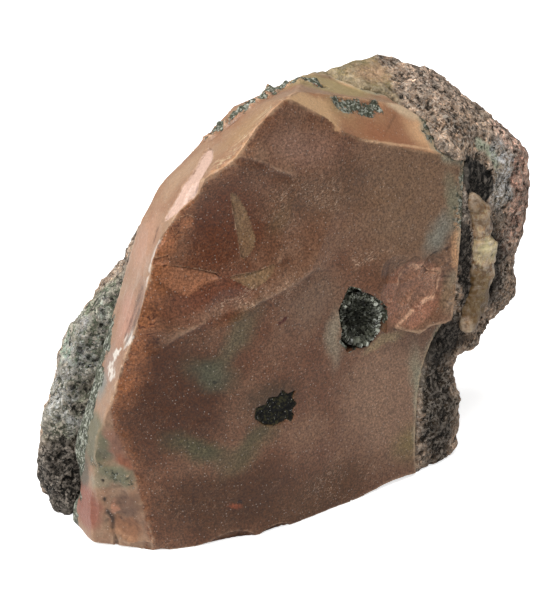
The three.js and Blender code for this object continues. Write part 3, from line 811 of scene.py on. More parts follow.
def speckled_basalt():
    """Crumbly basalt: purple-brown and grey grains, dark ones among them, pale specks that glint."""
    material, tree, shader = new_material("speckled basalt")
    place = stone_place(tree)
    ragged = wandering(tree, place, 4.0, 1.6)
    clouds = noise(tree, place, 6.0, 5.0, 0.65)
    colour = two_tones(tree, spread(tree, clouds, 0.38, 0.64), ON_ROCK, (110, 91, 76), (152, 130, 111))
    colour = patches(tree, ragged, colour, ROCK_PATCHES, ON_ROCK)
    # lighter lumps and darker gaps between them: partly the rock's mottling, partly a painted highlight and
    # a painted shade
    blotches = noise(tree, ragged, 1.9, 5.0, 0.8)
    lit_lumps = spread(tree, blotches, 0.53, 0.63, 0.0, 1.9)
    shaded_gaps = spread(tree, blotches, 0.49, 0.4, 0.0, 0.86)
    tone = minus(tree, plus(tree, 1.0, lit_lumps), shaded_gaps)
    colour = scaled(tree, colour, tone)
    # the dark patch of rock, and painted shade in the two holes
    dark_rock_and_hole_shade = read_note(tree, "dark_rock_and_hole_shade")
    colour = mixed(tree, dark_rock_and_hole_shade, colour, seen(30, 28, 24, ON_ROCK))
    # silvery needles, and a pale green streak
    needles = streaks(tree, ragged, (0.3, 0.9, 0.4), 0.6, 2.6, 0.5)
    laths = streaks(tree, ragged, (1.1, 0.2, 1.9), 0.6, 2.2, 0.5)
    silver = read_note(tree, "silver")
    colour = laid(tree, colour, silver, 0.5, seen(92, 94, 82, ON_ROCK))
    colour = laid_by_note(tree, colour, "green_streak", 0.7, seen(168, 180, 156, ON_ROCK))
    # smooth olive and salmon skin on top
    skin = read_note(tree, "skin")
    tone = noise(tree, ragged, 5.0, 4.0, 0.6)
    smooth = two_tones(tree, spread(tree, tone, 0.4, 0.6), ON_TOP, (150, 132, 98), (132, 120, 88))
    salmon = use(tree, "patch", Place=ragged, Middle=(35, 4, 81), Reach=(6.5, 6, 3), Core=0.3)["Mask"]
    smooth = laid(tree, smooth, salmon, 0.9, seen(190, 156, 126, ON_TOP))
    skin_lines = streaks(tree, place, (0.0, -0.3, 0.2), 0.7, 5.0, 0.5)
    smooth = laid(tree, smooth, skin_lines, 0.5, seen(196, 164, 116, ON_TOP))
    plain = larger(tree, times(tree, skin, 0.7), times(tree, dark_rock_and_hole_shade, 0.8))
    rough = minus(tree, 1.0, plain)
    base = mixed(tree, skin, colour, smooth)
    pale = mixed(tree, 0.5, base, (0.76, 0.65, 0.54, 1))
    grain = use(tree, "grain", Place=place, Base=base, Pale=pale, Contrast=rough)
    fibres = larger(tree, needles, laths)
    colour = laid(tree, grain["Color"], times(tree, fibres, rough), 0.6, pale)
    bright = larger(tree, fibres, spread(tree, blotches, 0.52, 0.6, 0.0, 0.8))
    colour = laid(tree, colour, bright, silver, seen(214, 224, 202, ON_ROCK))
    # paler where an edge stands out, partly wear and partly a painted highlight, and near-black painted
    # shade in the hollows
    edges_and_shaded_hollows = use(tree, "edges_and_shaded_hollows", Place=place, Reach=0.1)
    colour = laid(tree, colour, edges_and_shaded_hollows["Edge"], 0.3, pale)
    colour = laid(tree, colour, edges_and_shaded_hollows["Hollow"], 0.85, (0.016, 0.015, 0.012, 1))
    colour = patches(tree, ragged, colour, PAINTED_SHADE_ROCK_PATCHES, ON_ROCK)
    gloss = spread(tree, grain["Glint"], 0.0, 1.0, 0.8, 0.3)
    height = plus(tree, grain["Height"], times(tree, fibres, 0.4))
    dress(tree, shader, colour, gloss, 0.2, bumped(tree, height, 0.95, 0.5))
    return material


# a painted highlight on the knob, the darker lower half and the tip below it
FINGER_PATCHES = [
    ((49.2, -15.4, 46), (4, 4, 4.2), 0, 0.3, (214, 186, 144), 0.75),
    ((47, -15.5, 35.5), (5, 6, 8), 0, 0.5, (96, 77, 53), 0.9),
    ((45.4, -16.5, 31), (2.6, 4, 2.4), 0, 0.2, (128, 106, 76), 0.5),
]
# its dark ends, laid over the grain
FINGER_ENDS = [
    ((47, -15.5, 34.5), (5.5, 8, 9.5), 0, 0.55, (74, 57, 38), 0.72),
    ((46.5, -15.5, 54), (5, 8, 5), 0, 0.3, (96, 76, 54), 0.5),
]


def cream_datolite():
    """The pale finger: cream to tan, streaked along its length, with a painted highlight on its knob."""
    material, tree, shader = new_material("cream datolite")
    place = stone_place(tree)
    ragged = wandering(tree, place, 2.5, 0.7)
    clouds = noise(tree, place, 2.0, 5.0, 0.7)
    colour = two_tones(tree, spread(tree, clouds, 0.36, 0.66), ON_FINGER, (80, 58, 42), (146, 118, 90))
    colour = patches(tree, ragged, colour, FINGER_PATCHES, ON_FINGER)
    lines = streaks(tree, ragged, (0.0, 1.5, 0.0), 0.7, 4.0, 0.4)
    colour = laid(tree, colour, lines, 0.5, seen(220, 196, 156, ON_FINGER_LINES))
    # paler where an edge stands out, partly wear and partly a painted highlight, and near-black painted
    # shade in the hollows
    edges_and_shaded_hollows = use(tree, "edges_and_shaded_hollows", Place=place, Reach=0.07)
    colour = laid(tree, colour, edges_and_shaded_hollows["Edge"], 0.4, (0.62, 0.52, 0.4, 1))
    colour = laid(tree, colour, edges_and_shaded_hollows["Hollow"], 0.85, (0.04, 0.028, 0.018, 1))
    grain = use(tree, "grain", Place=place, Base=colour, Pale=(0.6, 0.54, 0.44, 1), Contrast=0.3)
    colour = patches(tree, ragged, grain["Color"], FINGER_ENDS, ON_FINGER)
    gloss = spread(tree, clouds, 0.3, 0.7, 0.4, 0.6)
    dress(tree, shader, colour, gloss, 0.5, bumped(tree, plus(tree, clouds, grain["Height"]), 0.5, 0.22))
    return material


def dark_fragment():
    """The dark fragment: nearly black green basalt with a few lighter grains."""
    material, tree, shader = new_material("dark fragment")
    place = stone_place(tree)
    base = two_tones(tree, noise(tree, place, 1.6, 4.0), ON_FRAGMENT, (13, 12, 9), (32, 30, 22))
    grain = use(tree, "grain", Place=place, Base=base, Pale=seen(60, 58, 44, ON_FRAGMENT), Contrast=0.7)
    # paler where an edge stands out, and painted shade in the hollows
    edges_and_shaded_hollows = use(tree, "edges_and_shaded_hollows", Place=place, Reach=0.08)
    colour = laid(tree, grain["Color"], edges_and_shaded_hollows["Edge"], 0.25, seen(84, 76, 58, ON_FRAGMENT))
    colour = laid(tree, colour, edges_and_shaded_hollows["Hollow"], 0.8, seen(14, 13, 10, ON_FRAGMENT))
    gloss = spread(tree, grain["Glint"], 0.0, 1.0, 0.85, 0.35)
    dress(tree, shader, colour, gloss, 0.3, bumped(tree, grain["Height"], 0.9, 0.4))
    return material


def druse_crystal():
    """The hollow's crystals: smoky grey-green, some white, each face glossy."""
    material, tree, shader = new_material("druse crystal")
    place = stone_place(tree)
    pale = read_note(tree, "pale")
    clouds = spread(tree, noise(tree, place, 1.2), 0.35, 0.65)
    colour = mixed(tree, clouds, (0.028, 0.027, 0.019, 1), (0.11, 0.114, 0.08, 1))
    colour = mixed(tree, pale, colour, (0.55, 0.57, 0.48, 1))
    dress(tree, shader, colour, spread(tree, pale, 0.0, 1.0, 0.32, 0.18), 0.6)
    return material


def studio_floor():
    """Plain pale paper that glows, but only as the camera sees it."""
    material, tree, shader = new_material("studio floor")
    fibre = noise(tree, stone_place(tree), 2.5, 3.0)
    dress(tree, shader, mixed(tree, fibre, (0.82, 0.82, 0.82, 1), (0.84, 0.84, 0.84, 1)), 0.9, 0.1)
    shader.inputs["Emission Color"].default_value = (1, 1, 1, 1)
    looked_at = add(tree, "ShaderNodeLightPath").outputs["Is Camera Ray"]
    link(tree, shader.inputs["Emission Strength"], times(tree, looked_at, FLOOR_GLOW))
    return material


# ---------------------------------------------------------------- places on the stone

RIDGE = [
    (2.7, -12.8, 87.1), (-3, -13.5, 82.6), (-7.9, -14.6, 77.7), (-15, -13.9, 74.7), (-17.3, -13.4, 73.6),
    (-23.2, -12.3, 67.5), (-26.8, -12.2, 60.5), (-30.9, -12.6, 51.8), (-32.5, -13.6, 44.9),
    (-35.2, -13.2, 36.3), (-36.8, -12.9, 33), (-36.4, -13.7, 26), (-33.8, -15.4, 18.8),
    (-32.6, -16.5, 10.3), (-31.8, -17.8, 0),
]
RIDGE_TOP = RIDGE[:5]
RIDGE_MIDDLE = RIDGE[5:10]

# Flakes broken out of the front: x, z and depth at each corner, below 0 where the flake runs out.
BLADE = [
    (-10.6, 71, 0.05), (-9.3, 70.2, -0.05), (-7.6, 67.1, -0.05), (-6.5, 64.1, -0.05),
    (-5.9, 60.5, -0.05), (-6.9, 58.8, -0.05), (-8.9, 57.6, 0.1), (-9.6, 58, 0.4), (-9.7, 63.2, 0.5),
    (-10.3, 68, 0.4),
]
WEDGE = [
    (-24.7, 58.5, 0.05), (-20.6, 57.6, 0.25), (-17.6, 56.7, 0.32), (-14.9, 55.7, 0.3),
    (-14.2, 54.8, 0.15), (-15.1, 54.5, -0.05), (-17.8, 53.9, -0.05), (-21.1, 52.2, -0.05),
    (-23.8, 53.7, -0.05), (-25.8, 55.8, -0.05),
]
TONGUE = [
    (-12.5, 54.6, 0.1), (-11.2, 54.9, 0.22), (-8.7, 54.8, 0.26), (-5.7, 54.9, 0.28), (-2.8, 55.4, 0.2),
    (-3.4, 53.7, -0.05), (-5.9, 52.4, -0.05), (-8.4, 51.7, -0.05), (-10.7, 53.3, -0.05),
]
HIGH_CHIP = [
    (-20.6, 67.2, 0.3), (-19.1, 67.6, 0.35), (-18, 66.8, 0.2), (-18.4, 65.1, -0.05),
    (-20.7, 64.8, -0.05),
]
MIDDLE_CHIP = [
    (-23.3, 64.6, 0.2), (-22.2, 65.5, 0.3), (-21.5, 63, 0.2), (-22.3, 61.6, -0.05), (-24.9, 61, -0.05),
]
LOW_CHIP = [
    (-26.3, 59.9, 0.25), (-23.5, 60.2, 0.3), (-23.3, 58.9, 0.1), (-24.7, 58.5, -0.05),
    (-26.6, 58.9, 0.1),
]
HOLLOW_MOUTH = [
    (14.1, 46.8, 0.8), (16.4, 45.6, 1.4), (18.2, 43.6, 1.6), (20.9, 42.6, 1.4), (23, 40.2, 1),
    (22.6, 37.4, 1.2), (21.6, 34.2, 1.2), (17.6, 33.6, 1.4), (13.6, 32.4, 0.8), (11.6, 35.4, 1),
    (12.2, 38.6, 1.6), (11.5, 42.2, 0.9),
]
SCAR_FACET = [
    (25.8, 44.6, 0.12), (26.9, 45.9, 0.25), (28.5, 46.7, 0.35), (30.3, 47.4, 0.5), (31.3, 46.5, 0.42),
    (32.4, 46.9, 0.45), (33.7, 45.3, 0.35), (35, 44.9, 0.4), (37.2, 44.4, 0.45), (36.4, 40.8, 0.2),
    (34.6, 38.9, 0.05), (30, 38.4, 0.12), (26.4, 37.2, -0.02), (25.8, 40.6, 0.1),
]
SCAR_EDGES = [
    [
        (25.8, -18.2, 44.6), (26.9, -17.8, 45.9), (28.5, -17.6, 46.7), (30.3, -17.4, 47.4),
        (31.3, -17.6, 46.5), (32.4, -17.8, 46.9),
    ],
    [
        (32.4, -17.8, 46.9), (33.7, -17.7, 45.3), (35, -17.7, 44.9), (37.2, -17.5, 44.4),
        (36.4, -17.4, 40.8), (34.8, -17.9, 39),
    ],
    [(25, -19.7, 35.7), (29.4, -18.7, 37.7), (33.9, -17.8, 39.1), (34.8, -17.9, 39)],
]
# the reddish scar's oval on the front: its middle and its reach
SCAR = ((29.5, 41.5), (9, 7))
OLIVE_FLAKES = (BLADE, TONGUE)
ORANGE_FLAKES = (WEDGE, HIGH_CHIP, MIDDLE_CHIP, LOW_CHIP)

# Shell-shaped chips: middle, outward, along, radius, stretch, depth.
SHELL_CHIPS = [
    ((-29.2, -14.4, 44.5), (-0.3, -0.95, 0.1), (0.3, 0, 1), 11, 1.5, 0.3),
    ((-33.6, -13.6, 37.5), (-0.5, -0.85, 0.1), (0, 0, 1), 8, 1.4, 0.25),
    ((-27.2, -13.2, 52.5), (-0.4, -0.9, 0.1), (0.3, 0, 1), 9, 1.3, 0.3),
    ((-36.6, -13.4, 29.5), (-0.75, -0.65, 0), (0, 0, 1), 7, 1.6, 0.25),
    ((-19.6, -13.4, 70.9), (-0.5, -0.8, 0.3), (0.7, 0, 0.7), 6, 1.3, 0.3),
    ((-24.2, -12.4, 65.4), (-0.7, -0.6, 0.3), (0.5, 0, 0.8), 5, 1.6, 0.35),
    ((-34.9, -14.9, 22), (-0.7, -0.7, 0), (0, 0, 1), 9, 1.8, 0.2),
    ((-35.0, -14.0, 4.4), (-0.65, -0.75, 0.1), (0.6, -0.4, -0.6), 8, 1.6, 0.3),
    ((13.6, -15.0, 78.7), (0, -0.75, 0.65), (1, 0, -0.5), 4, 1.8, 0.2),
    ((-24.5, -7, 61), (-0.85, 0.1, 0.5), (0.4, 0.1, 0.8), 14, 2.2, 0.25),
    ((-30.5, -7.5, 47.5), (-0.92, 0, 0.38), (0.3, 0, 0.9), 11, 1.9, 0.25),
    ((-36.6, -12.2, 9.6), (-0.55, -0.8, 0.1), (0, 0.1, 1), 5, 1.8, 0.45),
    ((-38.9, -9, 7), (-0.9, -0.35, 0.1), (0, 0.1, 1), 7, 1.7, 0.35),
    ((-35.6, -13, 3.4), (-0.6, -0.75, 0.2), (0.6, -0.3, -0.5), 3.6, 1.8, 0.5),
    ((-33.6, -15.6, 1.2), (-0.5, -0.75, -0.3), (0.6, -0.4, 0), 3, 1.8, 0.5),
    ((-36.6, -12.6, 18.5), (-0.75, -0.6, 0.2), (0.5, -0.6, -0.3), 5, 1.6, 0.3),
    # the reddish scar right of the hollow
    ((25.4, -19.2, 46.4), (0.1, -1, 0.3), (1, 0, -0.3), 6, 1.3, 0.7),
    ((30.4, -18.7, 45.4), (-0.25, -1, 0.15), (0.6, 0, 0.8), 4.6, 1.2, 0.7),
    ((27.4, -19.2, 41.8), (0.3, -1, 0.1), (1, 0, 0.4), 4.4, 1.4, 0.7),
    ((34.2, -18.2, 46), (0.2, -1, 0.2), (1, 0, 0.2), 3.2, 1.2, 0.5),
    ((31.8, -18.8, 41.4), (0.1, -1, -0.2), (0.6, 0, 0.8), 3.4, 1.4, 0.5),
    ((23.6, -19.4, 42), (0, -1, 0.1), (0.3, 0, 0.9), 3.4, 1.3, 0.5),
    ((36.2, -17.9, 41.6), (0.4, -1, 0), (0.3, 0, 1), 4, 1.6, 0.5),
    # shallow shells across the upper face
    ((2.5, -16, 63.5), (0.05, -1, 0.1), (0.6, 0, 0.8), 26, 1.3, 0.24),
    ((-15, -17, 51.5), (-0.1, -1, 0.05), (1, 0, 0.3), 16, 1.4, 0.22),
    ((19, -16, 66), (0.1, -1, 0.15), (1, 0, -0.5), 24, 1.3, 0.16),
    # chips along the foot
    ((-18, -22.4, 0.4), (0, -0.85, -0.5), (1, 0, 0), 5, 1.8, 0.7),
    ((-6, -23, 0.3), (0, -0.85, -0.5), (1, 0, 0), 4, 1.6, 0.4),
]

CHAMFER_RIDGE = [
    (2.7, -12.8, 87.1), (15.1, -14.9, 78.1), (19, -14.8, 75.6), (28.8, -14, 72.4), (45.7, -12.7, 66.1),
]
LENS = [
    (-8.6, -3.2, 76), (-12.4, -7.6, 74.9), (-15.9, -9.9, 73), (-18.2, -10.7, 70.6), (-20.2, -10.6, 68),
    (-21.8, -9.2, 65.8),
]
# white glint spots on the left face, painted as highlights
GLINT_SPOTS = [(-33.2, -8.2, 39.8), (-34.2, -7.6, 37.6), (-32.4, -11.8, 44.6), (-33.6, -9.6, 36.6)]
UPPER_LIP = [(-10.5, 77.2), (-8.5, 77.6), (-5.5, 76.5), (-2.2, 74.7), (0.3, 72.7), (4.5, 70.9)]
LOWER_LIP = [
    (-29.2, 41.9), (-23, 45), (-17, 47.4), (-12, 47.9), (-4.4, 49.4), (2.3, 50.8), (6.1, 52.2),
    (11.2, 50.7),
]
RIGHT_LIP = [(-2.3, 55.1), (0.8, 56.4), (1.1, 57.9), (1.7, 60.1)]
# a bright line along the ridge, painted as a highlight
RIDGE_HIGHLIGHT_LINE = [(-25.2, -11.6, 62.6), (-27.2, -11.6, 59.5), (-29.6, -12, 53.5), (-31.4, -12.6, 48.5)]
LEFT_CRACK = [
    (-37.9, -11, 15), (-37.8, -11, 13.5), (-37.7, -11, 8.9), (-36.8, -11.8, 6.4), (-36.7, -12.3, 3.8),
    (-36.4, -12.6, 0.2),
]
RIGHT_CRACK = [(32.3, -17.9, 46.6), (33.6, -18, 47.9), (35.6, -18.1, 49), (38.5, -17.8, 49.1)]
CHAMFER_CRACK = [(26, -12.7, 74.5), (28.7, -10.6, 75.4), (31.4, -8.4, 76.2)]
SPECKLED_BAND = [(-39.4, -7.6, 18.3), (-38.2, -11.3, 18.2), (-36.3, -13.3, 15.9), (-33.9, -15.4, 15.1)]
TOP_LEFT_RIND = [
    (-5, 1.5, 76.6), (-3.3, 0.8, 78), (-1.3, -0.4, 80), (0.8, -1.5, 81.8), (4.8, -0.8, 82.8),
    (10.1, 1.3, 82.9), (14, 1.4, 83.4), (19, 0.4, 82.8),
]
GREEN_PIT = [(18, -8.6, 81.4), (21.3, -9, 79.9), (24, -8.9, 79.1), (27.2, -7.6, 78.9)]
RIGHT_MOTTLE = [(44.5, -14, 62), (43.8, -15, 57), (42, -15.6, 53.5)]
LENS_HALF_WIDTH = 2.5
LENS_HALF_LENGTH = 6.8
LENS_MIDDLE_X = -15.2
# where the basalt begins at the lower left: how high it reaches, and the depth at each of some heights
LEFT_ROCK_TOP = 46
LEFT_ROCK_FRONT = ([0, 10, 20, 34, LEFT_ROCK_TOP], [-2.5, -2, -5.5, -4.5, 0])
# the ragged faces at the lower left reach up to here
LEFT_FOOT_TOP = 34

# Scratched ovals on the front: strength, middle, reach and where they are at full strength.
SCRATCHED = [
    (0.5, (12, 6), (13, 6), 0.8),
    (0.8, (18, 51.6), (9, 2), 0.8),
    (0.9, (-11.5, 50.3), (3.4, 2.4), 0.6),
    (0.5, (8, 66), (13, 8), 0.8),
    (0.6, (-8, 50), (14, 3), 0.8),
]

# Ripples on the front: the blow they come from, how near and how far, step, direction and width in
# degrees, height.
RIPPLES = [
    ((2.7, 88), (8, 26), 3.4, -120, 60, 0.03),
    ((-26, 61), (10, 24), 2.6, -35, 50, 0.03),
    ((20, 76), (8, 26), 3.6, -80, 50, 0.025),
    ((-31, 40), (6, 15), 2.2, 0, 60, 0.02),
]

# Cracks with their width and depth, and the stains along them with their width and darkness.
OPEN_CRACKS = [(LEFT_CRACK, 0.7, 0.45), (RIGHT_CRACK, 0.5, 0.15)]
CRACK_STAINS = [(LEFT_CRACK, 0.6, 0.85), (RIGHT_CRACK, 0.5, 0.75), (CHAMFER_CRACK, 0.4, 0.25)]

# The lips that cross the front: their line, how high they stand and how far their light reaches.
LIPS = [(UPPER_LIP, 0.22, 6), (LOWER_LIP, 0.26, 4.5), (RIGHT_LIP, 0.15, 2.5)]

VUG_MIDDLE = np.array([16.8, -17.6, 38.8])
VUG_HALF = np.array([5.0, 5.2, 6.4])
VUG_TURN = -0.35
# ovals on the front, a middle and a reach each, where neither the pale edges nor the painted shade of the
# hollows show
BY_FRAGMENT = ((-5, 26), (6.4, 5))
BY_HOLLOW = ((17.2, 39.2), (8, 9.4))

DARK_PLACE = [
    (45.1, 66.8), (49.4, 64.4), (53.2, 60.6), (53.2, 56), (50.6, 52.6), (46.6, 53.4), (44.2, 58.4),
    (43.4, 63.4),
]
SILVER = [
    (55.4, -10.6, 64.4), (57.4, -10.8, 61.4), (55.8, -11.7, 56.4), (58.1, -11.4, 53.6),
    (54.3, -12.1, 54.1),
]
GREEN_STREAK = [(50.2, -11.5, 67.4), (53.4, -11, 64.5), (55.1, -11.5, 61.5)]
HIGH_HOLE = (51.2, -12.9, 53.5)
LOW_HOLE = [(52.2, -14, 38.4), (51.8, -14, 34.4)]


# ---------------------------------------------------------------- pieces

# the first of the seeds of the shells and of the flakes
SHELL_SEED = 100
FLAKE_SEED = 130
# depths of a place well in front of the stone, and of the front itself where nothing is hit
BEFORE_STONE = -60
USUAL_FRONT = -15.0
FLAKE_CUTTER_HEIGHT = 14


def front_depth(tree, x, z):
    """Where the front surface lies at x and z."""
    hit = tree.ray_cast(Vector((x, BEFORE_STONE, z)) * MM, Vector((0, 1, 0)))[0]
    return hit.y / MM if hit else USUAL_FRONT


def cut_flake(piece, tree, outline, seed):
    """Breaks one flat flake with an uneven floor out of the front."""
    floor = [Vector((x, front_depth(tree, x, z) + depth, z)) for x, z, depth in outline]
    middle = sum(floor, Vector()) / len(floor)
    middle.y += 0.12
    away = Vector((0, -FLAKE_CUTTER_HEIGHT, 0))
    work = bmesh.new()
    low = [work.verts.new(point * MM) for point in floor]
    high = [work.verts.new((point + away) * MM) for point in floor]
    low_middle = work.verts.new(middle * MM)
    high_middle = work.verts.new((middle + away) * MM)
    for i in range(len(floor)):
        j = (i + 1) % len(floor)
        work.faces.new((low[i], low[j], low_middle))
        work.faces.new((low[j], low[i], high[i], high[j]))
        work.faces.new((high[j], high[i], high_middle))
    bmesh.ops.recalc_face_normals(work, faces=work.faces)
    spokes = [edge for edge in work.edges if low_middle in edge.verts]
    rim = [edge for edge in work.edges if all(vert in low for vert in edge.verts)]
    bmesh.ops.subdivide_edges(work, edges=spokes + rim, cuts=7, use_grid_fill=True)
    bmesh.ops.triangulate(work, faces=work.faces)
    mesh = mesh_from("flake", work)
    points = corners_of(mesh)
    on_floor = points[:, 1] > middle.y - FLAKE_CUTTER_HEIGHT / 2
    points[:, 1] += np.where(on_floor, 0.07 * rolling(points, 1.8, seed, 2), 0)
    place_corners(mesh, points)
    cut(piece, piece_from("flake", mesh))


def cut_shell(piece, tree, chip, seed):
    """Breaks a shallow shell-shaped chip out of the surface, with faint ripples in it."""
    at, outward, along, radius, stretch, depth = chip
    at = tree.find_nearest(Vector(at) * MM)[0] / MM
    outward = Vector(outward).normalized()
    across = outward.cross(Vector(along)).normalized()
    axes = np.array([across.cross(outward), across, outward])
    work = bmesh.new()
    bmesh.ops.create_icosphere(work, subdivisions=5, radius=1.0)
    mesh = mesh_from("shell", work)
    rays = read(mesh, "vertices", "co", 3)
    ball = rays * radius * np.array([stretch, 1, 1])
    ripples = 0.05 * np.sin(2 * math.pi * (ball[:, 0] + 0.4 * rolling(ball, 3, seed)) / 1.3)
    ball *= (1 + (0.12 * rolling(ball, 2.6, seed + 1, 2) + ripples) / radius)[:, None]
    place_corners(mesh, ball @ axes + np.array(at) + np.array(outward) * (radius - depth))
    cut(piece, piece_from("shell", mesh))


def thin_out_hidden(piece, share):
    """Uses fewer faces where the stone is never seen, between it and the basalt and under its foot."""
    points = corners_of(piece.data)
    facing = facing_of(piece.data)
    at_back = (facing[:, 1] > 0.5) & (points[:, 1] > 2)
    hidden = at_back | ((facing[:, 2] < -0.8) & (points[:, 2] < 0.3))
    corners = piece.vertex_groups.new(name="hidden")
    corners.add(np.nonzero(hidden)[0].tolist(), 1.0, "REPLACE")
    change(piece, "DECIMATE", ratio=share, vertex_group="hidden", vertex_group_factor=1000.0)
    piece.vertex_groups.clear()


def across_lens(points):
    """How far each point lies from the lens's middle line, 1 being the lens's edge."""
    along = (points[:, 0] - LENS_MIDDLE_X) / LENS_HALF_LENGTH
    half_width = LENS_HALF_WIDTH * np.sqrt(np.clip(1 - along**2, 0, 1)) + 0.01
    return away_from(points, LENS) / half_width


def in_flake(x, z, flake):
    return inside(x, z, [(a, b) for a, b, _ in flake])


def datolite_relief(points, facing):
    """How far the stone's own relief lifts each corner of the datolite, in millimetres."""
    x, y, z = points.T
    front = ramp(-facing[:, 1], 0.3, 0.6)
    rise = 0.15 * rolling(points, 11, 1, 2) + 0.05 * rolling(points, 3.2, 2, 2)
    rise += (1 - front) * 0.1 * rolling(points, 2.6, 7, 3)
    wander = 0.5 * rolling(points, 5, 11)
    for *ripple, height in RIPPLES:
        rise += front * height * shell_ripples(x, z, *ripple, wander)
    near_ridge = near(points, RIDGE, 0.3, 3)
    rise += near_ridge * 0.22 * rolling(points, 2.8, 8, 2)
    rise += 0.45 * ramp(LEFT_FOOT_TOP - z, 0, 6) * near(points, RIDGE, 0, 3.5)
    small, own = crumbs(points, 1.9, 31)
    rise -= near_ridge * ramp(own, 0.6, 0.75) * 0.22 * ramp(0.8 - small, 0.1, 0.5)
    scar = ramp(1 - oval(x, z, *SCAR), 0, 0.35) * front
    rise += scar * 0.16 * rolling(points, 2.4, 12, 3)
    for lip, high, _ in LIPS:
        above, there = beside(x, z, lip)
        rise += front * there * high * ramp(above, -0.25, 0.35) * (1 - ramp(above, 0.4, 5))
    rise -= (1 - front) * 0.28 * (1 - ramp(across_lens(points), 0.85, 1.05))
    pit = near(points, GREEN_PIT, 0.8, 2.4)
    rise -= pit * (0.3 + 0.45 * np.abs(rolling(points, 1.2, 9, 2)))
    rind = near(points, TOP_LEFT_RIND, 1.4, 3)
    rise += rind * (0.3 + 1.5 * rolling(points, 2.6, 10, 3))
    for line, width, depth in OPEN_CRACKS:
        rise -= depth * near(points, line, 0.1, width, 0.5 * rolling(points, 1.6, 17))
    on_top = ramp(z, 76, 78) * ramp(y, -8, -6)
    rise += 0.5 * on_top * (1 - ramp(distance_to_solid(points, "basalt_matrix", 3.0), 0.4, 2))
    band = near(points, SPECKLED_BAND, 0.5, 1.4)
    return rise - band * 0.35 * np.abs(rolling(points, 1.2, 16, 2))


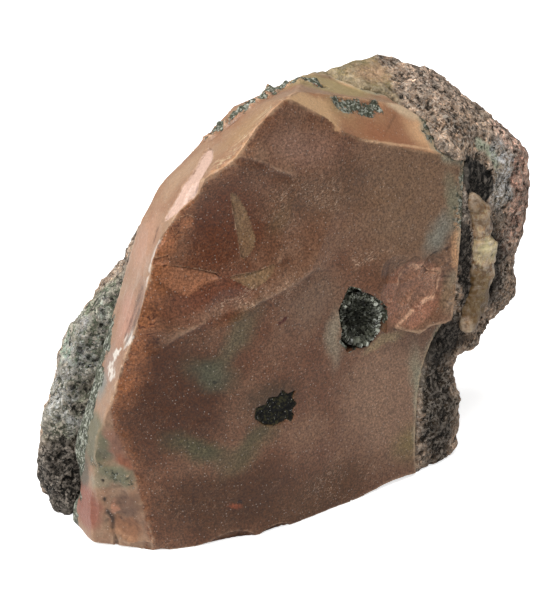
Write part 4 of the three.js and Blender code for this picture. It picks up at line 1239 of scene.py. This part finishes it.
def note_datolite(mesh):
    """Notes the datolite's faces, flakes, margins, stains, painted highlights and painted shade for its
    material.
    """
    points = corners_of(mesh)
    facing = facing_of(mesh)
    edges = edges_of(mesh)
    weight = short_ones(points, edges)
    broad = facing
    for _ in range(6):
        broad = 0.3 * broad + 0.7 * neighbours_mean(broad, edges, weight)
    x, y, z = points.T
    side = ramp(-broad[:, 0] + 0.35 * broad[:, 1], 0.47, 0.57)
    ridge_at = np.interp(z, [at[2] for at in RIDGE[::-1]], [at[0] for at in RIDGE[::-1]])
    side = np.maximum(side, ramp(ridge_at - x, -0.1, 0.35) * ramp(LEFT_ROCK_TOP - z, 0, 4))
    side = np.maximum(side, ramp(broad[:, 2], 0.82, 0.86))
    chamfer = (1 - side) * ramp(broad[:, 2], 0.5, 0.58) * ramp(z, 60, 63)
    front = (1 - side) * (1 - chamfer)
    uneven = rolling(points, 3.6, 21, 3)
    rim = front * near(points, RIDGE_MIDDLE, 1.6, 6.4, 1.8 * uneven)
    rim = np.maximum(rim, 0.4 * front * near(points, RIDGE, 0.4, 2.6, 0.8 * uneven))
    note(mesh, "side", side)
    note(mesh, "chamfer", chamfer)
    note(mesh, "rim", rim)
    shallow = ramp(-facing[:, 1], 0.2, 0.5)
    for name, flakes in (("olive_flake", OLIVE_FLAKES), ("orange_flake", ORANGE_FLAKES)):
        within = sum(in_flake(x, z, flake) for flake in flakes)
        note(mesh, name, np.minimum(within, 1) * shallow * np.clip(0.75 + 0.5 * uneven, 0, 1))
    scar = ramp(1 - oval(x, z, *SCAR), 0, 0.25) * front
    note(mesh, "scar", scar)
    to_facet = np.min([away_from(points, edge) for edge in SCAR_EDGES], axis=0)
    note(mesh, "scar_edge", front * (1 - ramp(to_facet + 0.35 * uneven, 0.15, 0.55)))
    note(mesh, "scar_facet", front * in_flake(x + 0.2 * uneven, z, SCAR_FACET))
    scratched = 0
    for strength, middle, reach, full in SCRATCHED:
        scratched += strength * ramp(1 - oval(x, z, middle, reach), 0, full)
    note(mesh, "scratched", front * np.clip(0.15 + scratched + 0.35 * scar, 0, 1))
    note(mesh, "fanned", side * near(points, RIDGE_TOP, 1.5, 4.5))
    note(mesh, "lens", side * (1 - ramp(across_lens(points) + 0.1 * uneven, 0.85, 1.05)))
    # painted highlights: white glint spots on the left face and a bright line along the ridge
    ragged = 1.8 * rolling(points, 1.9, 22, 3)
    to_glint_spot = np.min([np.linalg.norm(points - spot, axis=1) for spot in GLINT_SPOTS], axis=0)
    painted_highlight = 1 - ramp(to_glint_spot + ragged, 1.3, 1.8)
    white = near(points, RIDGE_HIGHLIGHT_LINE, 0.6, 1.0, 0.35 * ragged)
    note(mesh, "painted_highlight", np.maximum(side * painted_highlight, 0.8 * white))
    for name, sign in (("lip_light", 1), ("lip_shade", -1)):
        strength = np.zeros(len(points))
        for lip, _, reach in LIPS:
            above, there = beside(x, z, lip)
            above = sign * above + 0.4 * uneven
            there = there * np.clip(0.7 + 0.8 * uneven, 0, 1)
            strength = np.maximum(strength, there * ramp(above, -0.1, 0.3) * (1 - ramp(above, 0.3, reach)))
        note(mesh, name, front * strength)
    to_rock = distance_to_solid(points, "basalt_matrix", 3.0)
    note(mesh, "margin", 1 - ramp(to_rock + 0.6 * uneven, 0.3, 2.0))
    behind = y - np.interp(z, *LEFT_ROCK_FRONT) + 2.2 * uneven
    mouth = in_flake(x + 0.7 * uneven, z + 0.7 * rolling(points, 3, 23, 2), HOLLOW_MOUTH)
    rinds = [
        1.2 * near(points, TOP_LEFT_RIND, 0.6, 3.6),
        1.15 * near(points, GREEN_PIT, 0.8, 3.6, 0.6 * uneven),
        0.75 * near(points, SPECKLED_BAND, 0.1, 2.6),
        1.05 * near(points, RIGHT_MOTTLE, 0.3, 5),
        0.85 * (1 - ramp(to_rock, 0.3, 1.6)),
        1.3 * (1 - ramp(to_rock, 0.6, 3)) * ramp(-z, -46, -36) * ramp(-x, 20, 26),
        1.5 * ramp(behind, -1.6, 0.8) * ramp(LEFT_ROCK_TOP - z, 0, 3) * ramp(-20 - x, 0, 4),
        1.3 * mouth * ramp(-facing[:, 1], -0.2, 0),
    ]
    note(mesh, "rind", np.max(rinds, axis=0))
    # a painted highlight along the chamfer's lower edge on the right, and a painted shadow under its left
    # part
    line = near(points, CHAMFER_RIDGE, 0.12, 0.38, 0.25 * uneven)
    note(mesh, "chamfer_highlight_line", line * ramp(x, 17, 21))
    note(mesh, "chamfer_shadow_line", line * (1 - ramp(x, 17, 21)) * ramp(x, 3, 5))
    by_fragment = ramp(oval(x, z, *BY_FRAGMENT), 1.0, 1.5)
    note(mesh, "clear_edge", by_fragment * ramp(oval(x, z, *BY_HOLLOW), 0.8, 1.2))
    stain_and_hollow_shade = np.zeros(len(points))
    wobble = 0.5 * rolling(points, 1.6, 17)
    for line, width, dark in CRACK_STAINS:
        stain_and_hollow_shade = np.maximum(stain_and_hollow_shade, dark * near(points, line, 0.1, width, wobble))
    # painted shade on the hollow's inner walls
    turn = np.array(Euler((0, VUG_TURN, 0)).to_matrix())
    mouth = np.linalg.norm(((points - VUG_MIDDLE) @ turn) / VUG_HALF, axis=1)
    stain_and_hollow_shade = np.maximum(stain_and_hollow_shade, (1 - ramp(mouth, 0.98, 1.1)) * ramp(y, -19, -17.8))
    note(mesh, "stain_and_hollow_shade", stain_and_hollow_shade)


def datolite_body():
    """The massive datolite, with its fracture faces, flakes, ripples and chipped ridge."""
    piece = closed_copy("datolite_body", "datolite_stone")
    marks = sharp_edge_marks(piece.data, 8)
    remesh = {"mode": "SHARP", "octree_depth": 8, "scale": 0.865, "sharpness": 1.0}
    change(piece, "REMESH", use_remove_disconnected=False, **remesh)
    mesh = piece.data
    edges = edges_of(mesh)
    points = corners_of(mesh)
    on_front = ramp(-facing_of(mesh)[:, 1], 0.5, 0.7)
    loose = ramp(distance_to_marks(points, marks, 2.0), 0.25, 1.5)
    loose = np.maximum(loose, ramp(LEFT_FOOT_TOP - points[:, 2], 0, 4) * ramp(-28 - points[:, 0], 0, 3))
    points = ease(points, edges, loose * np.maximum(on_front, 0.3), 50)
    points = ease(points, edges, np.full(len(points), 0.8), 3)
    place_corners(mesh, points)
    facing = facing_of(mesh)
    place_on_floor(mesh, points + facing * datolite_relief(points, facing)[:, None])
    tree = BVHTree.FromObject(piece, bpy.context.evaluated_depsgraph_get())
    for i, chip in enumerate(SHELL_CHIPS):
        cut_shell(piece, tree, chip, SHELL_SEED + i)
    for i, outline in enumerate((*OLIVE_FLAKES, *ORANGE_FLAKES, HOLLOW_MOUTH, SCAR_FACET)):
        cut_flake(piece, tree, outline, FLAKE_SEED + i)
    thin_out_hidden(piece, 0.5)
    place_on_floor(piece.data, corners_of(piece.data))
    change(piece, "TRIANGULATE")
    note_edges(piece.data, 5)
    note_datolite(piece.data)
    shade(piece.data, 32)
    return piece


def even_copy(node, name, grid):
    """A copy of a CAD solid with its corners on an even grid of the given millimetres."""
    piece = closed_copy(node, name)
    change(piece, "REMESH", mode="VOXEL", voxel_size=grid * MM)
    return piece, piece.data


def basalt_matrix():
    """The basalt: crumbly, pitted, and grown over the datolite's edge."""
    piece, mesh = even_copy("basalt_matrix", "basalt_rind", 0.53)
    edges = edges_of(mesh)
    points = corners_of(mesh)
    points = ease(points, edges, np.full(len(points), 0.8), 6)
    place_corners(mesh, points)
    facing = facing_of(mesh)
    x, y, z = points.T
    uneven = rolling(points, 4, 50, 3)
    skin = ramp(z + 2 * uneven, 74, 76) * (1 - ramp(x + 3 * uneven + 0.4 * (80 - z), 36, 39))
    rise = 0.3 + 0.55 * rolling(points, 8, 55, 3) + 0.4 * rolling(points, 4, 54, 2)
    rise += ramp(-x, 24, 30) * 0.75 * rolling(points, 4.6, 53, 3)
    crumbly = 0.5 * (0.4 - np.abs(rolling(points, 3.1, 58, 3)))
    small, grain = crumbs(points + 0.6 * uneven[:, None], 1.25, 56)
    flatter = points * (1, 1, 0.6)
    crumbly += 0.16 * (grain - 0.5) + 0.1 * (0.45 - small) + 0.3 * rolling(flatter, 1.0, 59, 2)
    crumbly -= 0.6 * ramp(rolling(points, 2.8, 57, 3), 0.4, 0.7)
    rise += (1 - 0.75 * skin) * crumbly
    rise += skin * (1 - ramp(distance_to_solid(points, "datolite_body", 3.0), 0.6, 2.6))
    hole = np.minimum(np.linalg.norm(points - HIGH_HOLE, axis=1) / 1.6, away_from(points, LOW_HOLE) / 1.8)
    rise -= 1.4 * (1 - ramp(hole + 0.3 * uneven, 0.4, 1.1))
    points = points + facing * rise[:, None]
    place_on_floor(mesh, points)
    note_edges(mesh, 3)
    dark = inside(x + 1.1 * uneven, z + 0.9 * rolling(points, 3, 60, 2), DARK_PLACE) * ramp(-y, 4, 8)
    # painted shade in and around the two holes
    dark = np.maximum(dark, 1 - ramp(hole + 0.3 * uneven, 0.7, 1.2))
    note(mesh, "dark_rock_and_hole_shade", dark)
    silver = near(points, SILVER, 1.2, 2.8, 1.2 * uneven)
    left_crust = ramp(-x, 24, 30) * ramp(rolling(points, 4, 61, 2), -0.3, 0.25) * ramp(z, 14, 22)
    note(mesh, "silver", np.maximum(silver, 0.62 * left_crust))
    note(mesh, "green_streak", near(points, GREEN_STREAK, 0.5, 1.4, 0.5 * uneven))
    note(mesh, "skin", skin)
    shade(mesh)
    return piece


def datolite_vein():
    """The pale finger, knobbly and streaked."""
    piece, mesh = even_copy("datolite_vein", "datolite_finger", 0.24)
    points = corners_of(mesh)
    facing = facing_of(mesh)
    long_way = points * np.array([1, 1, 0.3])
    rise = 0.1 + 0.75 * rolling(points, 3.2, 61, 3) + 0.34 * rolling(long_way, 1.1, 62, 2)
    knob = 1 - ramp(np.linalg.norm(points - (49.2, -15.6, 45), axis=1), 0.5, 4)
    rise += knob * (0.7 + 0.6 * rolling(points, 1.9, 63, 2))
    wider = 0.7 + 0.35 * ramp(points[:, 2], 46, 50)
    place_corners(mesh, points + facing * (wider + rise)[:, None])
    note_edges(mesh, 3)
    shade(mesh)
    return piece


def basalt_inclusion():
    """The dark fragment, ragged and nearly flush with the face."""
    piece, mesh = even_copy("basalt_inclusion", "dark_fragment_lump", 0.15)
    points = corners_of(mesh)
    facing = facing_of(mesh)
    small, own = crumbs(points, 1.1, 71)
    rise = 0.32 + 0.28 * rolling(points, 1.6, 72, 3) + 0.26 * (own - 0.5) + 0.15 * (0.5 - small)
    rise -= 0.3 * ramp(-facing[:, 1], 0.5, 0.9)
    place_corners(mesh, points + facing * rise[:, None])
    note_edges(mesh, 3)
    shade(mesh)
    return piece


def crystal(work, spot, size, long, flat):
    """One small six-sided crystal with a slanting tip."""
    rings = []
    for share, up in ((1.0, -0.4), (0.94, long * 0.55)):
        ring = []
        for turn in np.arange(6) * math.pi / 3:
            corner = Vector((share * size * math.cos(turn), share * flat * size * math.sin(turn), up))
            ring.append(work.verts.new(spot @ corner))
        rings.append(ring)
    tip = work.verts.new(spot @ Vector((0.2 * size, 0, long)))
    low, high = rings
    for a in range(6):
        b = (a + 1) % 6
        work.faces.new((low[a], low[b], high[b], high[a]))
        work.faces.new((high[a], high[b], tip))
    return (*low, *high, tip)


CRYSTALS = 1150
GOLDEN_ANGLE = math.pi * (3 - math.sqrt(5))
# the hollow is cut off this far forward
HOLLOW_FRONT = -18.2


def vug_crust():
    """The lining of the hollow: a rough bowl set with small pointed crystals."""
    work = bmesh.new()
    bmesh.ops.create_icosphere(work, subdivisions=6, radius=1.0)
    turn = np.array(Euler((0, VUG_TURN, 0)).to_matrix())
    rays = np.array([vert.co for vert in work.verts])
    wall = 0.96 - 0.16 * np.abs(rolling(rays * 5, 2.0, 81, 3))
    bowl = (rays * VUG_HALF * wall[:, None]) @ turn.T + VUG_MIDDLE
    for vert, at in zip(work.verts, bowl):
        vert.co = at
    too_far = [vert for vert in work.verts if vert.co.y < HOLLOW_FRONT]
    bmesh.ops.delete(work, geom=too_far, context="VERTS")
    pale_of = {}
    lots = scattered(np.arange(3.0 * CRYSTALS).reshape(-1, 3), 83)
    for i in range(CRYSTALS):
        height = 1 - 1.3 * (i + 0.5) / CRYSTALS
        level = math.sqrt(max(1 - height * height, 0))
        around = GOLDEN_ANGLE * i
        ray = np.array([level * math.cos(around), height, level * math.sin(around)])
        at = (ray * VUG_HALF * (0.93 - 0.14 * lots[i, 1] ** 2)) @ turn.T + VUG_MIDDLE
        inward = -((ray / VUG_HALF) @ turn.T)
        inward = inward / np.linalg.norm(inward) + 1.1 * (lots[i] - 0.5)
        size = 0.14 + 0.36 * lots[i, 0] ** 2
        lean = Vector(inward).to_track_quat("Z", "Y").to_matrix().to_4x4()
        spot = Matrix.Translation(Vector(at)) @ lean @ Matrix.Rotation(6.3 * lots[i, 2], 4, "Z")
        corners = crystal(work, spot, size, size * (0.9 + 1.1 * lots[i, 1]), 0.75)
        rim = ramp(np.array([-at[1]]), 16.4, 19.0)[0]
        right = ramp(np.array([at[0]]), 15.5, 19.5)[0]
        white = lots[i, 1] < 0.04 + right * (0.26 + 0.24 * rim)
        pale = 0.4 + 0.6 * lots[i, 2] if white else 0.12 * lots[i, 2]
        for vert in corners:
            pale_of[vert] = pale
    pales = np.array([pale_of.get(vert, 0.0) for vert in work.verts])
    mesh = mesh_from("druse_lining", work)
    place_corners(mesh, read(mesh, "vertices", "co", 3))
    note(mesh, "pale", pales)
    return piece_from("druse_lining", mesh)


# ---------------------------------------------------------------- studio

# in millimetres and degrees
CAMERA_TARGET = Vector((4, -7.6, 42))
CAMERA_AZIMUTH = -32
CAMERA_ELEVATION = 25
CAMERA_DISTANCE = 520
CAMERA_LENS = 156
CAMERA_SENSOR = 36
CAMERA_NEAREST = 10
FLOOR_GLOW = 0.74
FLOOR_HALF_WIDTH = 6000
FLOOR_BELOW_FOOT = 0.05
SKY_STRENGTH = 0.25
LAMP_TARGET = Vector((8, 0, 40))
# azimuth, elevation, distance, size and watts
LAMPS = {
    "side_lamp": (-118, 40, 700, 350, 4.4),
    "upper_lamp": (-42, 68, 800, 480, 5.8),
}


def direction(azimuth, elevation):
    turn, lift = math.radians(azimuth), math.radians(elevation)
    return Vector((math.sin(turn) * math.cos(lift), -math.cos(turn) * math.cos(lift), math.sin(lift)))


def place_camera():
    data = bpy.data.cameras.new("camera")
    data.lens = CAMERA_LENS
    data.sensor_width = CAMERA_SENSOR
    data.clip_start = CAMERA_NEAREST * MM
    camera = bpy.data.objects.new("camera", data)
    bpy.context.scene.collection.objects.link(camera)
    away = direction(CAMERA_AZIMUTH, CAMERA_ELEVATION)
    camera.location = (CAMERA_TARGET + CAMERA_DISTANCE * away) * MM
    camera.rotation_euler = away.to_track_quat("Z", "Y").to_euler()
    bpy.context.scene.camera = camera


def soft_lamp(name, azimuth, elevation, distance, size, power):
    """A square lamp that looks at the specimen."""
    data = bpy.data.lights.new(name, "AREA")
    data.shape = "SQUARE"
    data.size = size * MM
    data.energy = power
    lamp = bpy.data.objects.new(name, data)
    bpy.context.scene.collection.objects.link(lamp)
    away = direction(azimuth, elevation)
    lamp.location = (LAMP_TARGET + distance * away) * MM
    lamp.rotation_euler = away.to_track_quat("Z", "Y").to_euler()


def build_studio():
    work = bmesh.new()
    bmesh.ops.create_grid(work, x_segments=1, y_segments=1, size=FLOOR_HALF_WIDTH * MM)
    mesh = mesh_from("studio_floor", work)
    floor = piece_from("studio_floor", mesh)
    floor.location.z = -FLOOR_BELOW_FOOT * MM
    mesh.materials.append(studio_floor())
    world = bpy.data.worlds.new("soft sky")
    world.use_nodes = True
    sky = world.node_tree.nodes["Background"]
    sky.inputs["Color"].default_value = (1, 1, 1, 1)
    sky.inputs["Strength"].default_value = SKY_STRENGTH
    bpy.context.scene.world = world
    for name, settings in LAMPS.items():
        soft_lamp(name, *settings)
    bpy.context.scene.view_settings.view_transform = "Standard"
    place_camera()


# ---------------------------------------------------------------- put together

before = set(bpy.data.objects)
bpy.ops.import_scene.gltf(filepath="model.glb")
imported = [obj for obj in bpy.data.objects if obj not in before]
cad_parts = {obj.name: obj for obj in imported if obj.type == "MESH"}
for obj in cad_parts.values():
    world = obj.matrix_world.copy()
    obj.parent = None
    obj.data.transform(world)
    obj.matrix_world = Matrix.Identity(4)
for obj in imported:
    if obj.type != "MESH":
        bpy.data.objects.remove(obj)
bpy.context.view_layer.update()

# the grain uses the glints, so it comes last
effects = {
    "wander": make_wandering_place(),
    "patch": make_patch(),
    "glints": make_glints(),
    "streaks": make_streaks(),
    "edges_and_shaded_hollows": make_edge_and_hollow_masks(),
}
effects["grain"] = make_crumbly_grain()

PIECES = [
    (datolite_body, pink_brown_datolite, "datolite_body", "datolite"),
    (basalt_matrix, speckled_basalt, "basalt_matrix", "basalt"),
    (datolite_vein, cream_datolite, "datolite_vein", "vein"),
    (basalt_inclusion, dark_fragment, "basalt_inclusion", "inclusion"),
    (vug_crust, druse_crystal, "vug_crust", "druse"),
]
# all of them are built first, because a CAD node is hidden once a piece stands for it
built = [make_piece() for make_piece, _, _, _ in PIECES]
for piece, (_, make_material, node, slot) in zip(built, PIECES):
    piece.data.materials.append(make_material())
    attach(piece, "root")
    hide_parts(node)

build_studio()
